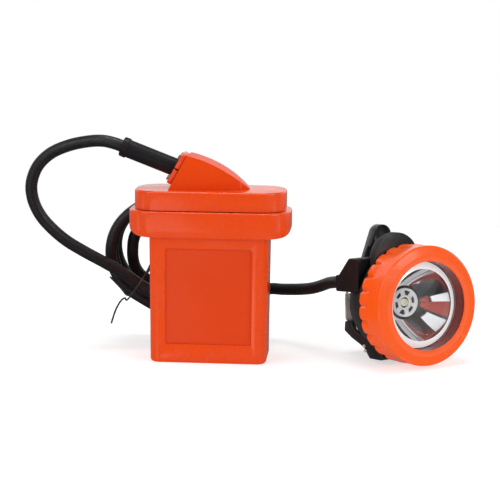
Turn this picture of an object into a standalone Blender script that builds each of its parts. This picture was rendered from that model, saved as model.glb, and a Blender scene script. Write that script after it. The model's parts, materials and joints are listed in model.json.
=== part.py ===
"""Miner's cap lamp: a belt battery box, a rubber cord with its spare length tied in a hank, and a headpiece.

The origin is the centre of the battery's base. +X runs towards the headpiece, +Y away from the
battery's front and +Z up. Lengths are in metres, written as millimetres times MM.
"""
import math

import bmesh
import bpy
from mathutils import Matrix, Vector

MM = 0.001
GAP = 0.3 * MM                 # clearance between pieces that touch

# Battery box
CASE_HALF_WIDTH = 36.5 * MM
CASE_HALF_DEPTH = 19.5 * MM
CASE_DRAFT = 0.6 * MM          # how much narrower each side is at the base
CASE_CORNER = 6.0 * MM
CASE_WALL = 2.4 * MM
COLLAR_BOTTOM = 78.4 * MM
COLLAR_TOP = 94.4 * MM
COLLAR_HALF_WIDTH = 49.8 * MM
COLLAR_HALF_DEPTH = 23.0 * MM
COLLAR_CORNER = 17.0 * MM
PANEL = (-26.2 * MM, 27.0 * MM, 12.0 * MM, 71.6 * MM)      # left, right, bottom and top of the recess
PANEL_DEPTH = 0.5 * MM
LID_HALF_WIDTH = 46.6 * MM
LID_HALF_DEPTH = 20.5 * MM
LID_CORNER = 16.0 * MM
LID_BOTTOM = 94.8 * MM
LID_TOP = 106.5 * MM
LID_CEILING = 103.6 * MM
CAVITY_HALF_WIDTH = 34.0 * MM
CAVITY_HALF_DEPTH = 16.6 * MM
LID_SCREW_X = 40.8 * MM
LID_SCREW_Y = 10.0 * MM
LID_SCREW_SEAT = 83.1 * MM     # the heads are underneath, sunk in the collar
BELT_SCREW_HEIGHTS = (21.5 * MM, 66.5 * MM)

# Cable housing on the lid: a boat-shaped hood with a slanted left end
HOOD_HALF_WIDTH = 11.8 * MM
HOOD_SHOULDER_X = -2.0 * MM    # where the plan starts to taper
HOOD_NOSE = 26.0 * MM          # length of the taper
HOOD_ARC = (-31.8 * MM, 49.6 * MM, 80.0 * MM)              # centre x, centre z and radius of the ridge
HOOD_FOOT_X = -25.4 * MM
HOOD_SLANT = math.radians(61.0)
HOOD_LEFT_TOP_Z = 127.4 * MM
GLAND_THICKNESS = 2.9 * MM
GLAND_LENGTH = 20.4 * MM
GLAND_WIDTH = 20.0 * MM
GLAND_SPLIT = 0.45 * MM        # half the gap between the two halves
GLAND_SCREW_HOLE = 1.15 * MM

# Cord and its strain relief
CORD_RADIUS = 3.8 * MM
CORD_SPACING = 7.0 * MM        # between the points of its modelled line
SLEEVE_RADIUS = 5.6 * MM
SLEEVE_START = Vector((-21.3, 0.0, 118.7)) * MM            # where its axis meets the gland
SLEEVE_END = Vector((-55.4, 0.0, 131.7)) * MM
HANK_LEFT = (-36.5 * MM, 60.0 * MM, 35.4 * MM)             # centre x, centre z and outer radius of an end
HANK_RIGHT = (1.8 * MM, 31.4 * MM, 31.0 * MM)
HANK_LEFT_HOLE = (-34.0 * MM, 63.0 * MM, 15.0 * MM)
HANK_RIGHT_HOLE = (1.8 * MM, 31.4 * MM, 14.0 * MM)
HANK_FRONT = 28.8 * MM
HANK_BACK = 59.3 * MM

# The route's own points, chosen by hand
LOOP_ROUTE = [
    (-60.2, 0.2, 133.3), (-67.5, 1.3, 134.6), (-77.0, 3.2, 133.9), (-89.5, 6.0, 131.0), (-101.6, 8.4, 125.6),
    (-110.4, 10.3, 117.2), (-114.9, 12.0, 106.2), (-114.4, 13.4, 95.6), (-110.3, 14.6, 85.8),
    (-103.6, 15.8, 77.4), (-94.2, 16.8, 69.2), (-82.4, 18.0, 61.9), (-69.8, 19.6, 54.9), (-57.4, 21.6, 47.4),
    (-49.0, 22.7, 41.6), (-42.4, 23.0, 37.2),
]
LAMP_ROUTE = [
    (35.2, 51.8, 34.4), (41.4, 47.8, 34.9), (48.0, 42.9, 35.9), (55.2, 37.8, 37.2), (62.2, 31.9, 39.2),
    (68.2, 26.6, 42.0), (72.8, 21.4, 44.8),
]

# Headpiece, in its own axes: x sideways, y up and z forward along the beam
LAMP_FRONT = Vector((134.8, -16.2, 39.05)) * MM            # centre of the bezel's front face
LAMP_TURN = math.radians(35.0)
LAMP_TILT = math.radians(5.0)
GRIP_START = -15.0 * MM        # depth at which the bezel's scalloped grip starts
SCALLOPS = 24
SCALLOP_DEPTH = 1.1 * MM
THREAD_BORE = 33.2 * MM
SHELL_THREAD = 33.0 * MM
SHELL_BACK = 48.4 * MM
SWITCH_HUMP = (-6.5 * MM, 27.3 * MM, 16.9 * MM)            # centre x, centre y and radius
SWITCH_AXIS = (-6.5 * MM, 23.5 * MM)
SWITCH_BOSS = 6.4 * MM
LEVER_LENGTH = 18.6 * MM       # from its hub to the middle of its head
LEVER_ANGLE = math.radians(70.2)
LEVER_HUB = 7.4 * MM
LEVER_HEAD = 6.6 * MM
BOOT_FACE = -33.5 * MM
BOOT_AXIS = (-29.0 * MM, 12.8 * MM)
BOOT_BACK = 51.5 * MM
BLOCK_HALF_WIDTH = 20.0 * MM
CONTACTS = ((-26.9 * MM, 40.2 * MM), (-29.6 * MM, 39.0 * MM))           # height and depth on the block's side
HOOK_HALF_WIDTH = 20.0 * MM
HOOK_SCREWS = ((-10.0 * MM, -14.2 * MM), (10.0 * MM, -14.2 * MM))
HOOK_THICKNESS = 1.2 * MM
LED_PLANE = 27.0 * MM

ORANGE = ("orange_plastic", (0.83, 0.075, 0.012), 0.24, 0.0)
BLACK = ("black_plastic", (0.012, 0.012, 0.013), 0.38, 0.0)
RUBBER = ("black_rubber", (0.014, 0.014, 0.015), 0.6, 0.0)
STEEL = ("steel", (0.62, 0.61, 0.59), 0.3, 1.0)
CHROME = ("reflector_chrome", (0.92, 0.92, 0.93), 0.05, 1.0)
GLASS = ("clear_lens", (0.95, 0.97, 0.98), 0.03, 0.0)
BRASS = ("brass", (0.72, 0.5, 0.2), 0.3, 1.0)
BOARD = ("circuit_board", (0.02, 0.16, 0.07), 0.5, 0.0)
CELL = ("cell_wrap", (0.05, 0.2, 0.45), 0.4, 0.0)
FOAM = ("foam", (0.35, 0.35, 0.36), 0.9, 0.0)
ALUMINIUM = ("aluminium", (0.75, 0.76, 0.77), 0.35, 1.0)
PHOSPHOR = ("led_phosphor", (0.85, 0.75, 0.25), 0.4, 0.0)
RED = ("red_lead", (0.6, 0.02, 0.02), 0.5, 0.0)


# ---------------------------------------------------------------- scene and materials

def clear_scene():
    for obj in list(bpy.data.objects):
        bpy.data.objects.remove(obj)


def new_collection(name):
    made = bpy.data.collections.new(name)
    bpy.context.scene.collection.children.link(made)
    return made


def material_of(spec):
    """The Principled material of a finish, made the first time that it is asked for."""
    name, colour, roughness, metallic = spec
    if name in bpy.data.materials:
        return bpy.data.materials[name]
    made = bpy.data.materials.new(name)
    made.use_nodes = True
    shader = made.node_tree.nodes["Principled BSDF"]
    shader.inputs["Base Color"].default_value = (*colour, 1.0)
    shader.inputs["Roughness"].default_value = roughness
    shader.inputs["Metallic"].default_value = metallic
    return made


clear_scene()
PARTS = new_collection("miners_cap_lamp")
CUTTERS = new_collection("cutters")


def place(obj, spec, parent=None):
    """Puts a finished object in the parts, or in the cutters where it has no finish."""
    if spec is None:
        CUTTERS.objects.link(obj)
        obj.hide_render = True
        obj.display_type = "WIRE"
    else:
        PARTS.objects.link(obj)
        obj.data.materials.clear()
        obj.data.materials.append(material_of(spec))
    if parent is not None:
        obj.parent = parent
    if obj.type == "MESH":
        obj.data.shade_smooth()
        obj.data.set_sharp_from_angle(angle=math.radians(35))
    return obj


def new_empty(name, matrix, parent=None):
    empty = bpy.data.objects.new(name, None)
    PARTS.objects.link(empty)
    empty.parent = parent
    empty.matrix_local = matrix
    return empty


# ---------------------------------------------------------------- shape tools

def face_outwards(editor):
    bmesh.ops.recalc_face_normals(editor, faces=editor.faces)
    if editor.calc_volume(signed=True) < 0:
        bmesh.ops.reverse_faces(editor, faces=editor.faces)


def mesh_object(name, mesh_editor, spec, parent=None):
    mesh = bpy.data.meshes.new(name)
    face_outwards(mesh_editor)
    mesh_editor.to_mesh(mesh)
    mesh_editor.free()
    return place(bpy.data.objects.new(name, mesh), spec, parent)


def box(name, low, high, spec, parent=None, edge=0.0):
    """A box between two corners, with its edges bevelled by a width."""
    editor = bmesh.new()
    bmesh.ops.create_cube(editor, size=1.0)
    low, high = Vector(low), Vector(high)
    size = high - low
    middle = (low + high) / 2
    editor.transform(Matrix.Translation(middle) @ Matrix.Diagonal((*size, 1.0)))
    obj = mesh_object(name, editor, spec, parent)
    if edge:
        add_bevel(obj, edge)
    return obj


def add_bevel(obj, width, segments=2, angle=40):
    bevel = obj.modifiers.new("edges", "BEVEL")
    bevel.width = width
    bevel.segments = segments
    bevel.limit_method = "ANGLE"
    bevel.angle_limit = math.radians(angle)
    return bevel


def rod(name, start, end, radius, spec, parent=None, sides=24):
    """A round bar between two points."""
    start, end = Vector(start), Vector(end)
    editor = bmesh.new()
    bmesh.ops.create_cone(
        editor, cap_ends=True, segments=sides, radius1=radius, radius2=radius, depth=(end - start).length
    )
    turn = (end - start).to_track_quat("Z", "Y").to_matrix().to_4x4()
    editor.transform(Matrix.Translation((start + end) / 2) @ turn)
    return mesh_object(name, editor, spec, parent)


def turned(name, profile, spec, parent=None, matrix=None, steps=48):
    """A profile of (radius, height) points turned about Z. It runs down its outer side, top to bottom."""
    mesh = bpy.data.meshes.new(name)
    points = [(radius, 0.0, height) for radius, height in profile]
    closed = profile[0][0] > 0 or profile[-1][0] > 0
    edges = [(i, i + 1) for i in range(len(points) - 1)]
    if closed:
        edges.append((len(points) - 1, 0))
    mesh.from_pydata(points, edges, [])
    obj = bpy.data.objects.new(name, mesh)
    place(obj, spec, parent)
    if matrix is not None:
        obj.matrix_local = matrix
    screw = obj.modifiers.new("turn", "SCREW")
    screw.steps = steps
    screw.render_steps = steps
    screw.use_merge_vertices = True
    screw.merge_threshold = 0.00001
    screw.use_smooth_shade = False
    return obj


def solidified(obj):
    """Replaces an object's mesh by its evaluated one, so that Booleans and bevels start from real faces."""
    bpy.context.view_layer.update()
    graph = bpy.context.evaluated_depsgraph_get()
    mesh = bpy.data.meshes.new_from_object(obj.evaluated_get(graph))
    editor = bmesh.new()
    editor.from_mesh(mesh)
    bmesh.ops.remove_doubles(editor, verts=editor.verts, dist=0.000001)
    face_outwards(editor)
    editor.to_mesh(mesh)
    editor.free()
    if obj.type == "MESH":
        obj.modifiers.clear()
        obj.data = mesh
        return obj
    made = bpy.data.objects.new(obj.name, mesh)
    matrix = obj.matrix_world.copy()
    name = obj.name
    collection = obj.users_collection[0]
    parent = obj.parent
    bpy.data.objects.remove(obj)
    made.name = name
    collection.objects.link(made)
    made.parent = parent
    bpy.context.view_layer.update()
    made.matrix_world = matrix
    return made


def slab(name, outlines, low, high, spec, parent=None, matrix=None):
    """Flat outlines, the first with the others as holes, extruded from low to high along local Z."""
    curve = bpy.data.curves.new(name, "CURVE")
    curve.dimensions = "2D"
    curve.fill_mode = "BOTH"
    curve.extrude = (high - low) / 2
    for outline in outlines:
        spline = curve.splines.new("POLY")
        spline.points.add(len(outline) - 1)
        for point, (x, y) in zip(spline.points, outline):
            point.co = (x, y, 0.0, 1.0)
        spline.use_cyclic_u = True
    obj = bpy.data.objects.new(name, curve)
    PARTS.objects.link(obj)
    obj.parent = parent
    obj.matrix_local = (matrix or Matrix()) @ Matrix.Translation((0, 0, (low + high) / 2))
    made = solidified(obj)
    if len(outlines) == 1:
        merge_flat_faces(made)
    PARTS.objects.unlink(made)
    return place(made, spec, parent)


def merge_flat_faces(obj):
    """Turns triangles that lie in one plane into a single face, which a bevel needs."""
    editor = bmesh.new()
    editor.from_mesh(obj.data)
    bmesh.ops.dissolve_limit(editor, angle_limit=math.radians(0.5), verts=editor.verts, edges=editor.edges)
    editor.to_mesh(obj.data)
    editor.free()


def tube(name, points, radius, spec, parent=None, resolution=2):
    """A round cord, wire or lead along a list of points."""
    curve = bpy.data.curves.new(name, "CURVE")
    curve.dimensions = "3D"
    curve.bevel_depth = radius
    curve.bevel_resolution = resolution
    curve.use_fill_caps = True
    spline = curve.splines.new("POLY")
    spline.points.add(len(points) - 1)
    for point, place_of in zip(spline.points, points):
        point.co = (*place_of, 1.0)
    return place(bpy.data.objects.new(name, curve), spec, parent)


def boolean(obj, other, operation):
    change = obj.modifiers.new(other.name, "BOOLEAN")
    change.operation = operation
    change.solver = "EXACT"
    change.object = other


def cut(obj, *cutters):
    for cutter in cutters:
        boolean(obj, cutter, "DIFFERENCE")
    return obj


def join(obj, *others):
    for other in others:
        boolean(obj, other, "UNION")
    return obj


def arc(centre_x, centre_y, radius, start, end, steps):
    """Points on an arc, from one angle in degrees to another."""
    found = []
    for step in range(steps + 1):
        angle = math.radians(start + (end - start) * step / steps)
        found.append((centre_x + radius * math.cos(angle), centre_y + radius * math.sin(angle)))
    return found


def rounded_rectangle(half_x, half_y, radius, steps=4):
    found = []
    for sign_x, sign_y, start in ((1, 1, 0), (-1, 1, 90), (-1, -1, 180), (1, -1, 270)):
        centre_x = sign_x * (half_x - radius)
        centre_y = sign_y * (half_y - radius)
        found += arc(centre_x, centre_y, radius, start, start + 90, steps)
    return found


def loft(name, sections, spec, steps=4):
    """A closed body through rounded rectangles: (height, half width, half depth, corner radius) each."""
    editor = bmesh.new()
    rings = []
    for height, half_x, half_y, radius in sections:
        outline = rounded_rectangle(half_x, half_y, radius, steps)
        rings.append([editor.verts.new((x, y, height)) for x, y in outline])
    for lower, upper in zip(rings, rings[1:]):
        for i in range(len(lower)):
            following = (i + 1) % len(lower)
            editor.faces.new((lower[i], lower[following], upper[following], upper[i]))
    editor.faces.new(reversed(rings[0]))
    editor.faces.new(rings[-1])
    return mesh_object(name, editor, spec)


def smooth_route(points, spacing):
    """Points a spacing apart, read from a smooth curve through the given ones."""
    points = [Vector(point) for point in points]
    ends = [points[0] * 2 - points[1], *points, points[-1] * 2 - points[-2]]
    fine = []
    for before, start, end, after in zip(ends, ends[1:], ends[2:], ends[3:]):
        for step in range(16):
            t = step / 16
            fine.append(
                0.5 * (2 * start + (end - before) * t + (2 * before - 5 * start + 4 * end - after) * t * t
                       + (3 * start - before - 3 * end + after) * t * t * t)
            )
    fine.append(points[-1])
    lengths = [0.0]
    for first, second in zip(fine, fine[1:]):
        lengths.append(lengths[-1] + (second - first).length)
    count = max(2, round(lengths[-1] / spacing))
    found = []
    index = 0
    for step in range(count + 1):
        wanted = lengths[-1] * step / count
        while index < len(fine) - 2 and lengths[index + 1] < wanted:
            index += 1
        share = (wanted - lengths[index]) / (lengths[index + 1] - lengths[index])
        found.append(fine[index].lerp(fine[index + 1], min(max(share, 0.0), 1.0)))
    return found


def in_mm(points):
    return [Vector(point) * MM for point in points]


def socket_screw(name, seat, direction, head, shank, length, parent=None, spec=STEEL):
    """A hexagon-socket screw: seat is under its head, direction points from the head to the tip."""
    thickness = head * 0.62
    profile = [
        (0.0, thickness), (head * 0.72, thickness), (head, thickness * 0.55), (head, 0.0),
        (shank, 0.0), (shank, -length), (0.0, -length),
    ]
    turn = (-Vector(direction)).to_track_quat("Z", "Y").to_matrix().to_4x4()
    matrix = Matrix.Translation(seat) @ turn
    obj = turned(name, profile, spec, parent, matrix, steps=12)
    start, end = Vector((0, 0, thickness * 0.4)), Vector((0, 0, thickness * 2))
    socket = rod(f"{name}_socket", start, end, head * 0.42, None, parent, 6)
    socket.matrix_local = matrix
    return cut(solidified(obj), socket)


# ---------------------------------------------------------------- battery box

def battery_case():
    end_radius = 5.6 * MM
    base_width = CASE_HALF_WIDTH - CASE_DRAFT
    base_depth = CASE_HALF_DEPTH - CASE_DRAFT
    sections = []
    for height, inset in ((0.0, 1.2 * MM), (0.4 * MM, 0.4 * MM), (1.2 * MM, 0.0)):
        sections.append((height, base_width - inset, base_depth - inset, CASE_CORNER - inset))
    sections.append((COLLAR_BOTTOM, CASE_HALF_WIDTH, CASE_HALF_DEPTH, CASE_CORNER))
    for angle in (8, 30, 55, 90):
        turn = math.radians(angle)
        sideways = end_radius * (1 - math.sin(turn))
        lift = end_radius * (1 - math.cos(turn))
        inwards = 1.2 * MM * (1 - math.sin(turn))
        sections.append((
            COLLAR_BOTTOM + lift, COLLAR_HALF_WIDTH - sideways, COLLAR_HALF_DEPTH - inwards,
            COLLAR_CORNER - sideways * 0.8,
        ))
    sections += [
        (COLLAR_TOP - 1.2 * MM, COLLAR_HALF_WIDTH, COLLAR_HALF_DEPTH, COLLAR_CORNER),
        (COLLAR_TOP - 0.4 * MM, COLLAR_HALF_WIDTH - 0.35 * MM, COLLAR_HALF_DEPTH - 0.35 * MM, COLLAR_CORNER),
        (COLLAR_TOP, COLLAR_HALF_WIDTH - 1.1 * MM, COLLAR_HALF_DEPTH - 1.1 * MM, COLLAR_CORNER - 0.6 * MM),
    ]
    case = loft("battery_case", sections, ORANGE)
    cavity = loft("case_cavity", [
        (CASE_WALL, CAVITY_HALF_WIDTH - 0.4 * MM, CAVITY_HALF_DEPTH - 0.4 * MM, 3.6 * MM),
        (COLLAR_TOP + 5 * MM, CAVITY_HALF_WIDTH, CAVITY_HALF_DEPTH, 4.0 * MM),
    ], None)
    left, right, bottom, top = PANEL
    recess = box(
        "panel_recess", (left, -CASE_HALF_DEPTH - 5 * MM, bottom),
        (right, -CASE_HALF_DEPTH + CASE_DRAFT / 2 + PANEL_DEPTH, top), None,
    )
    outer = rounded_rectangle(38.2 * MM, 19.9 * MM, 6 * MM)
    inner = rounded_rectangle(35.4 * MM, 17.6 * MM, 5 * MM)
    groove = slab("seal_groove", [outer, inner], COLLAR_TOP - 1.2 * MM, COLLAR_TOP + 2 * MM, None)
    cut(case, cavity, recess, groove)
    for index, (x, y) in enumerate(lid_screw_places(), 1):
        low = (x, y, COLLAR_BOTTOM - 9 * MM)
        bore = rod(f"case_screw_bore_{index}", low, (x, y, COLLAR_TOP + 5 * MM), 1.8 * MM, None, sides=12)
        sink = rod(f"case_screw_sink_{index}", low, (x, y, LID_SCREW_SEAT + GAP), 3.3 * MM, None, sides=16)
        cut(case, bore, sink)
    return case


def lid_screw_places():
    return [(sx * LID_SCREW_X, sy * LID_SCREW_Y) for sx in (-1, 1) for sy in (-1, 1)]


def hood_plan():
    """The hood's outline seen from above: straight sides and an elliptical nose."""
    nose = []
    for step in range(13):
        angle = math.radians(-90 + 180 * step / 12)
        nose.append((HOOD_SHOULDER_X + HOOD_NOSE * math.cos(angle), HOOD_HALF_WIDTH * math.sin(angle)))
    return nose + [(-40 * MM, HOOD_HALF_WIDTH), (-40 * MM, -HOOD_HALF_WIDTH)]


def hood_side():
    """The hood's outline seen from the front: the slanted end, the curved ridge and a foot inside the lid."""
    centre_x, centre_z, radius = HOOD_ARC
    top_x = HOOD_FOOT_X + (HOOD_LEFT_TOP_Z - LID_TOP) / math.tan(HOOD_SLANT)
    start = math.degrees(math.acos((top_x + 1.2 * MM - centre_x) / radius))
    ridge = arc(centre_x, centre_z, radius, start, 42, 12)
    foot = LID_CEILING - 1 * MM
    foot_x = HOOD_FOOT_X - (LID_TOP - foot) / math.tan(HOOD_SLANT)
    return [(foot_x, foot), (top_x, HOOD_LEFT_TOP_Z), *ridge, (30 * MM, LID_TOP - 1 * MM), (30 * MM, foot)]


def upright():
    """Turns a slab's outline from the floor plane into the plane of x and z, extruded along y."""
    return Matrix.Rotation(math.radians(90), 4, "X")


def sleeve_direction():
    return (SLEEVE_END - SLEEVE_START).normalized()


def battery_lid():
    lid = loft("battery_lid", [
        (LID_BOTTOM, LID_HALF_WIDTH, LID_HALF_DEPTH, LID_CORNER),
        (LID_TOP - 1.3 * MM, LID_HALF_WIDTH - 0.1 * MM, LID_HALF_DEPTH - 0.1 * MM, LID_CORNER),
        (LID_TOP - 0.4 * MM, LID_HALF_WIDTH - 0.45 * MM, LID_HALF_DEPTH - 0.45 * MM, LID_CORNER - 0.2 * MM),
        (LID_TOP, LID_HALF_WIDTH - 1.3 * MM, LID_HALF_DEPTH - 1.3 * MM, LID_CORNER - 0.8 * MM),
    ], ORANGE, steps=5)
    hood = slab("hood_block", [hood_side()], -16 * MM, 16 * MM, None, matrix=upright())
    plan = slab("hood_plan", [hood_plan()], 90 * MM, 140 * MM, None)
    boolean(hood, plan, "INTERSECT")
    add_bevel(hood, 0.9 * MM, 2, 30)
    join(lid, hood)
    cavity = loft("lid_cavity", [
        (LID_BOTTOM - 5 * MM, CAVITY_HALF_WIDTH, CAVITY_HALF_DEPTH, 4.0 * MM),
        (LID_CEILING, CAVITY_HALF_WIDTH, CAVITY_HALF_DEPTH, 4.0 * MM),
    ], None)
    along = sleeve_direction()
    inside, outside = SLEEVE_START - along * 11 * MM, SLEEVE_START + along * 9 * MM
    pocket = rod("sleeve_pocket", inside, outside, 7.4 * MM, None)
    shaft = rod("lead_shaft", (-10.5 * MM, 0, 98 * MM), (-10.5 * MM, 0, 115 * MM), 4.2 * MM, None, sides=16)
    cut(lid, cavity, pocket, shaft)
    for index, (x, y) in enumerate(lid_screw_places(), 1):
        low, high = (x, y, COLLAR_TOP - 4 * MM), (x, y, LID_CEILING - 1.1 * MM)
        cut(lid, rod(f"lid_thread_{index}", low, high, 1.8 * MM, None, sides=12))
    axis = gland_normal()
    for index, place_of in enumerate(gland_screw_places(), 1):
        deep, out = place_of - axis * 8 * MM, place_of + axis * 4 * MM
        cut(lid, rod(f"gland_thread_{index}", deep, out, GLAND_SCREW_HOLE, None, sides=12))
    return lid


def gland_normal():
    """Points out of the hood's slanted end."""
    return Vector((-math.sin(HOOD_SLANT), 0, math.cos(HOOD_SLANT)))


def gland_matrix():
    """Axes of the gland plate: x across the hood, y up its slanted end and z out of it."""
    out = gland_normal()
    up = Vector((math.cos(HOOD_SLANT), 0, math.sin(HOOD_SLANT)))
    across = up.cross(out)
    middle = Vector((HOOD_FOOT_X, 0, LID_TOP)) + up * (GLAND_LENGTH / 2 + 3.0 * MM)
    matrix = Matrix((across, up, out)).transposed().to_4x4()
    matrix.translation = middle
    return matrix


def gland_screw_places():
    matrix = gland_matrix()
    return [matrix @ Vector((x, y, 0)) for y in (-7.2 * MM, 7.2 * MM) for x in (-7.4 * MM, 7.4 * MM)]


def gland_halves():
    """The two halves of the clamp that grips the sleeve, with the split across its middle."""
    along = sleeve_direction()
    reach = along * 20 * MM
    bore = rod("gland_bore", SLEEVE_START - reach, SLEEVE_START + reach, SLEEVE_RADIUS + GAP, None)
    half_x, half_y = GLAND_WIDTH / 2, GLAND_LENGTH / 2
    axis = gland_normal()
    places = gland_screw_places()
    halves = (
        ("gland_clamp_lower", -half_y, -GLAND_SPLIT, places[:2]),
        ("gland_clamp_upper", GLAND_SPLIT, half_y, places[2:]),
    )
    for name, low, high, own_places in halves:
        half = box(name, (-half_x, low, GAP), (half_x, high, GAP + GLAND_THICKNESS), ORANGE, edge=0.6 * MM)
        half.matrix_local = gland_matrix()
        cut(half, bore)
        for index, place_of in enumerate(own_places):
            deep, out = place_of - axis * MM, place_of + axis * 9 * MM
            cut(half, rod(f"{name}_hole_{index}", deep, out, GLAND_SCREW_HOLE, None, sides=12))
    for index, place_of in enumerate(places, 1):
        seat = place_of + axis * (GLAND_THICKNESS + 2 * GAP)
        socket_screw(f"gland_screw_{index}", seat, -axis, 1.7 * MM, 0.85 * MM, 8.0 * MM)


def strain_relief():
    """A turned rubber sleeve: a flange held under the clamp, the round body and a lip at its mouth."""
    length = (SLEEVE_END - SLEEVE_START).length
    bore = CORD_RADIUS + GAP
    profile = [
        (bore + 0.6 * MM, length), (5.3 * MM, length), (6.1 * MM, length - 0.8 * MM),
        (6.2 * MM, length - 3.6 * MM), (SLEEVE_RADIUS, length - 4.6 * MM), (SLEEVE_RADIUS, -3.8 * MM),
        (6.9 * MM, -3.8 * MM), (6.9 * MM, -9.0 * MM), (bore, -9.0 * MM), (bore, length - 0.6 * MM),
    ]
    turn = sleeve_direction().to_track_quat("Z", "Y").to_matrix().to_4x4()
    turned("strain_relief_sleeve", profile, RUBBER, matrix=Matrix.Translation(SLEEVE_START) @ turn, steps=20)


def lid_fittings():
    outer = rounded_rectangle(37.9 * MM, 19.6 * MM, 5.7 * MM)
    inner = rounded_rectangle(35.7 * MM, 17.9 * MM, 5.3 * MM)
    slab("lid_seal", [outer, inner], COLLAR_TOP - 0.9 * MM, COLLAR_TOP + 0.1 * MM, RUBBER)
    for index, (x, y) in enumerate(lid_screw_places(), 1):
        socket_screw(f"lid_screw_{index}", (x, y, LID_SCREW_SEAT), (0, 0, 1), 2.9 * MM, 1.45 * MM, 18.6 * MM)


def belt_loop():
    """A bent steel strap on the back of the case, standing off it far enough for a belt."""
    thickness = 1.5 * MM
    back = CASE_HALF_DEPTH + GAP + thickness / 2
    out = 25.9 * MM
    profile = [
        (back, 17 * MM), (back, 26.5 * MM), (out, 30 * MM),
        (out, 58 * MM), (back, 61.5 * MM), (back, 71 * MM),
    ]
    line = [(0, y, z) for y, z in profile]
    strap = strip("belt_loop", line, (1, 0, 0), 20 * MM, thickness, BLACK, 0.5 * MM)
    case = bpy.data.objects["battery_case"]
    for index, height in enumerate(BELT_SCREW_HEIGHTS, 1):
        inside, outside = (0, 10 * MM, height), (0, 24 * MM, height)
        hole = rod(f"belt_screw_hole_{index}", inside, outside, 1.5 * MM, None, sides=16)
        cut(strap, hole)
        cut(case, hole)
        seat = (0, CASE_HALF_DEPTH + 2 * GAP + thickness, height)
        socket_screw(f"belt_screw_{index}", seat, (0, -1, 0), 2.6 * MM, 1.15 * MM, 4.4 * MM)


def strip(name, points, across, half_width, thickness, spec, edge, parent=None):
    """A bent sheet-metal strip: a line of points swept sideways, thickened and bevelled."""
    across = Vector(across)
    editor = bmesh.new()
    rows = []
    for point in points:
        left = editor.verts.new(Vector(point) - across * half_width)
        right = editor.verts.new(Vector(point) + across * half_width)
        rows.append((left, right))
    for first, second in zip(rows, rows[1:]):
        editor.faces.new((first[0], first[1], second[1], second[0]))
    mesh = bpy.data.meshes.new(name)
    editor.to_mesh(mesh)
    editor.free()
    obj = place(bpy.data.objects.new(name, mesh), spec, parent)
    thick = obj.modifiers.new("sheet", "SOLIDIFY")
    thick.thickness = thickness
    thick.offset = 0.0
    thick.use_even_offset = True
    solidified(obj)
    if edge:
        add_bevel(obj, edge, 1, 60)
    return obj


def battery_insides():
    radius, length, pitch = 9.25 * MM, 65 * MM, 20.4 * MM
    bottom = 5.0 * MM
    cradle_low, cradle_high = (-32 * MM, -14.5 * MM, 16 * MM), (32 * MM, 14.5 * MM, 48 * MM)
    cradle = box("cell_cradle", cradle_low, cradle_high, FOAM, edge=1.0 * MM)
    for index in range(3):
        x = (index - 1) * pitch
        profile = [
            (0.0, length), (3.0 * MM, length), (3.0 * MM, length - 0.8 * MM),
            (radius - 0.8 * MM, length - 0.8 * MM), (radius, length - 1.6 * MM), (radius, 0.5 * MM),
            (radius - 0.5 * MM, 0.0), (0.0, 0.0),
        ]
        place_of = Matrix.Translation((x, 0, bottom))
        turned(f"battery_cell_{index + 1}", profile, CELL, matrix=place_of, steps=20)
        cut(cradle, rod(f"cradle_bore_{index}", (x, 0, 0), (x, 0, 90 * MM), radius + GAP, None, sides=20))
    top = bottom + length
    for name, low in (("nickel_strip_top", top + GAP), ("nickel_strip_bottom", bottom - GAP - 0.4 * MM)):
        box(name, (-pitch - 5 * MM, -3.5 * MM, low), (pitch + 5 * MM, 3.5 * MM, low + 0.4 * MM), STEEL)
    board_low = top + 3.0 * MM
    board_corners = (-29 * MM, -12 * MM, board_low), (29 * MM, 12 * MM, board_low + 1.6 * MM)
    box("protection_board", *board_corners, BOARD, edge=0.2 * MM)
    for name, side, spec in (("battery_lead_positive", 1, RED), ("battery_lead_negative", -1, BLACK)):
        y = side * 1.6 * MM
        route = [
            (-20 * MM, side * 5 * MM, board_low + 1.9 * MM), (-20 * MM, side * 5 * MM, 80 * MM),
            (-16 * MM, side * 3.5 * MM, 88 * MM), (-11.5 * MM, y, 97 * MM), (-10.6 * MM, y, 106 * MM),
            (-11.0 * MM, y, 112.0 * MM),
        ]
        tube(name, smooth_route(route, 3.5 * MM), 0.8 * MM, spec, resolution=1)


# ---------------------------------------------------------------- cord

def hank_outline(left, right, steps=16):
    """The belt line round two circles in the plane of x and z, anticlockwise from the upper side."""
    (left_x, left_z, left_radius), (right_x, right_z, right_radius) = left, right
    along = math.atan2(right_z - left_z, right_x - left_x)
    distance = math.hypot(right_x - left_x, right_z - left_z)
    lean = math.asin((left_radius - right_radius) / distance)
    upper = math.degrees(along + math.pi / 2 - lean)
    lower = math.degrees(along - math.pi / 2 + lean)
    left_arc = arc(left_x, left_z, left_radius, upper, lower + 360, steps)
    right_arc = arc(right_x, right_z, right_radius, lower, upper, steps)
    return left_arc + right_arc


def cord():
    along = sleeve_direction()
    inside = [SLEEVE_START - along * 8 * MM, SLEEVE_START + along * 14 * MM]
    loop = smooth_route([SLEEVE_END, *in_mm(LOOP_ROUTE)], CORD_SPACING)
    tube("cord_battery_side", [*inside, *loop], CORD_RADIUS, RUBBER)
    outer = hank_outline(HANK_LEFT, HANK_RIGHT)
    inner = hank_outline(HANK_LEFT_HOLE, HANK_RIGHT_HOLE, 8)
    slab("cord_hank", [outer, inner], -HANK_BACK, -HANK_FRONT, RUBBER, matrix=upright())
    ends = [LAMP_AXES.matrix_world @ Vector((*BOOT_AXIS, -BOOT_BACK - gap)) for gap in (5 * MM, GAP)]
    lamp_side = smooth_route([*in_mm(LAMP_ROUTE), ends[0]], CORD_SPACING)
    tube("cord_lamp_side", [*lamp_side, ends[1]], CORD_RADIUS, RUBBER)
    tie()


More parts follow.
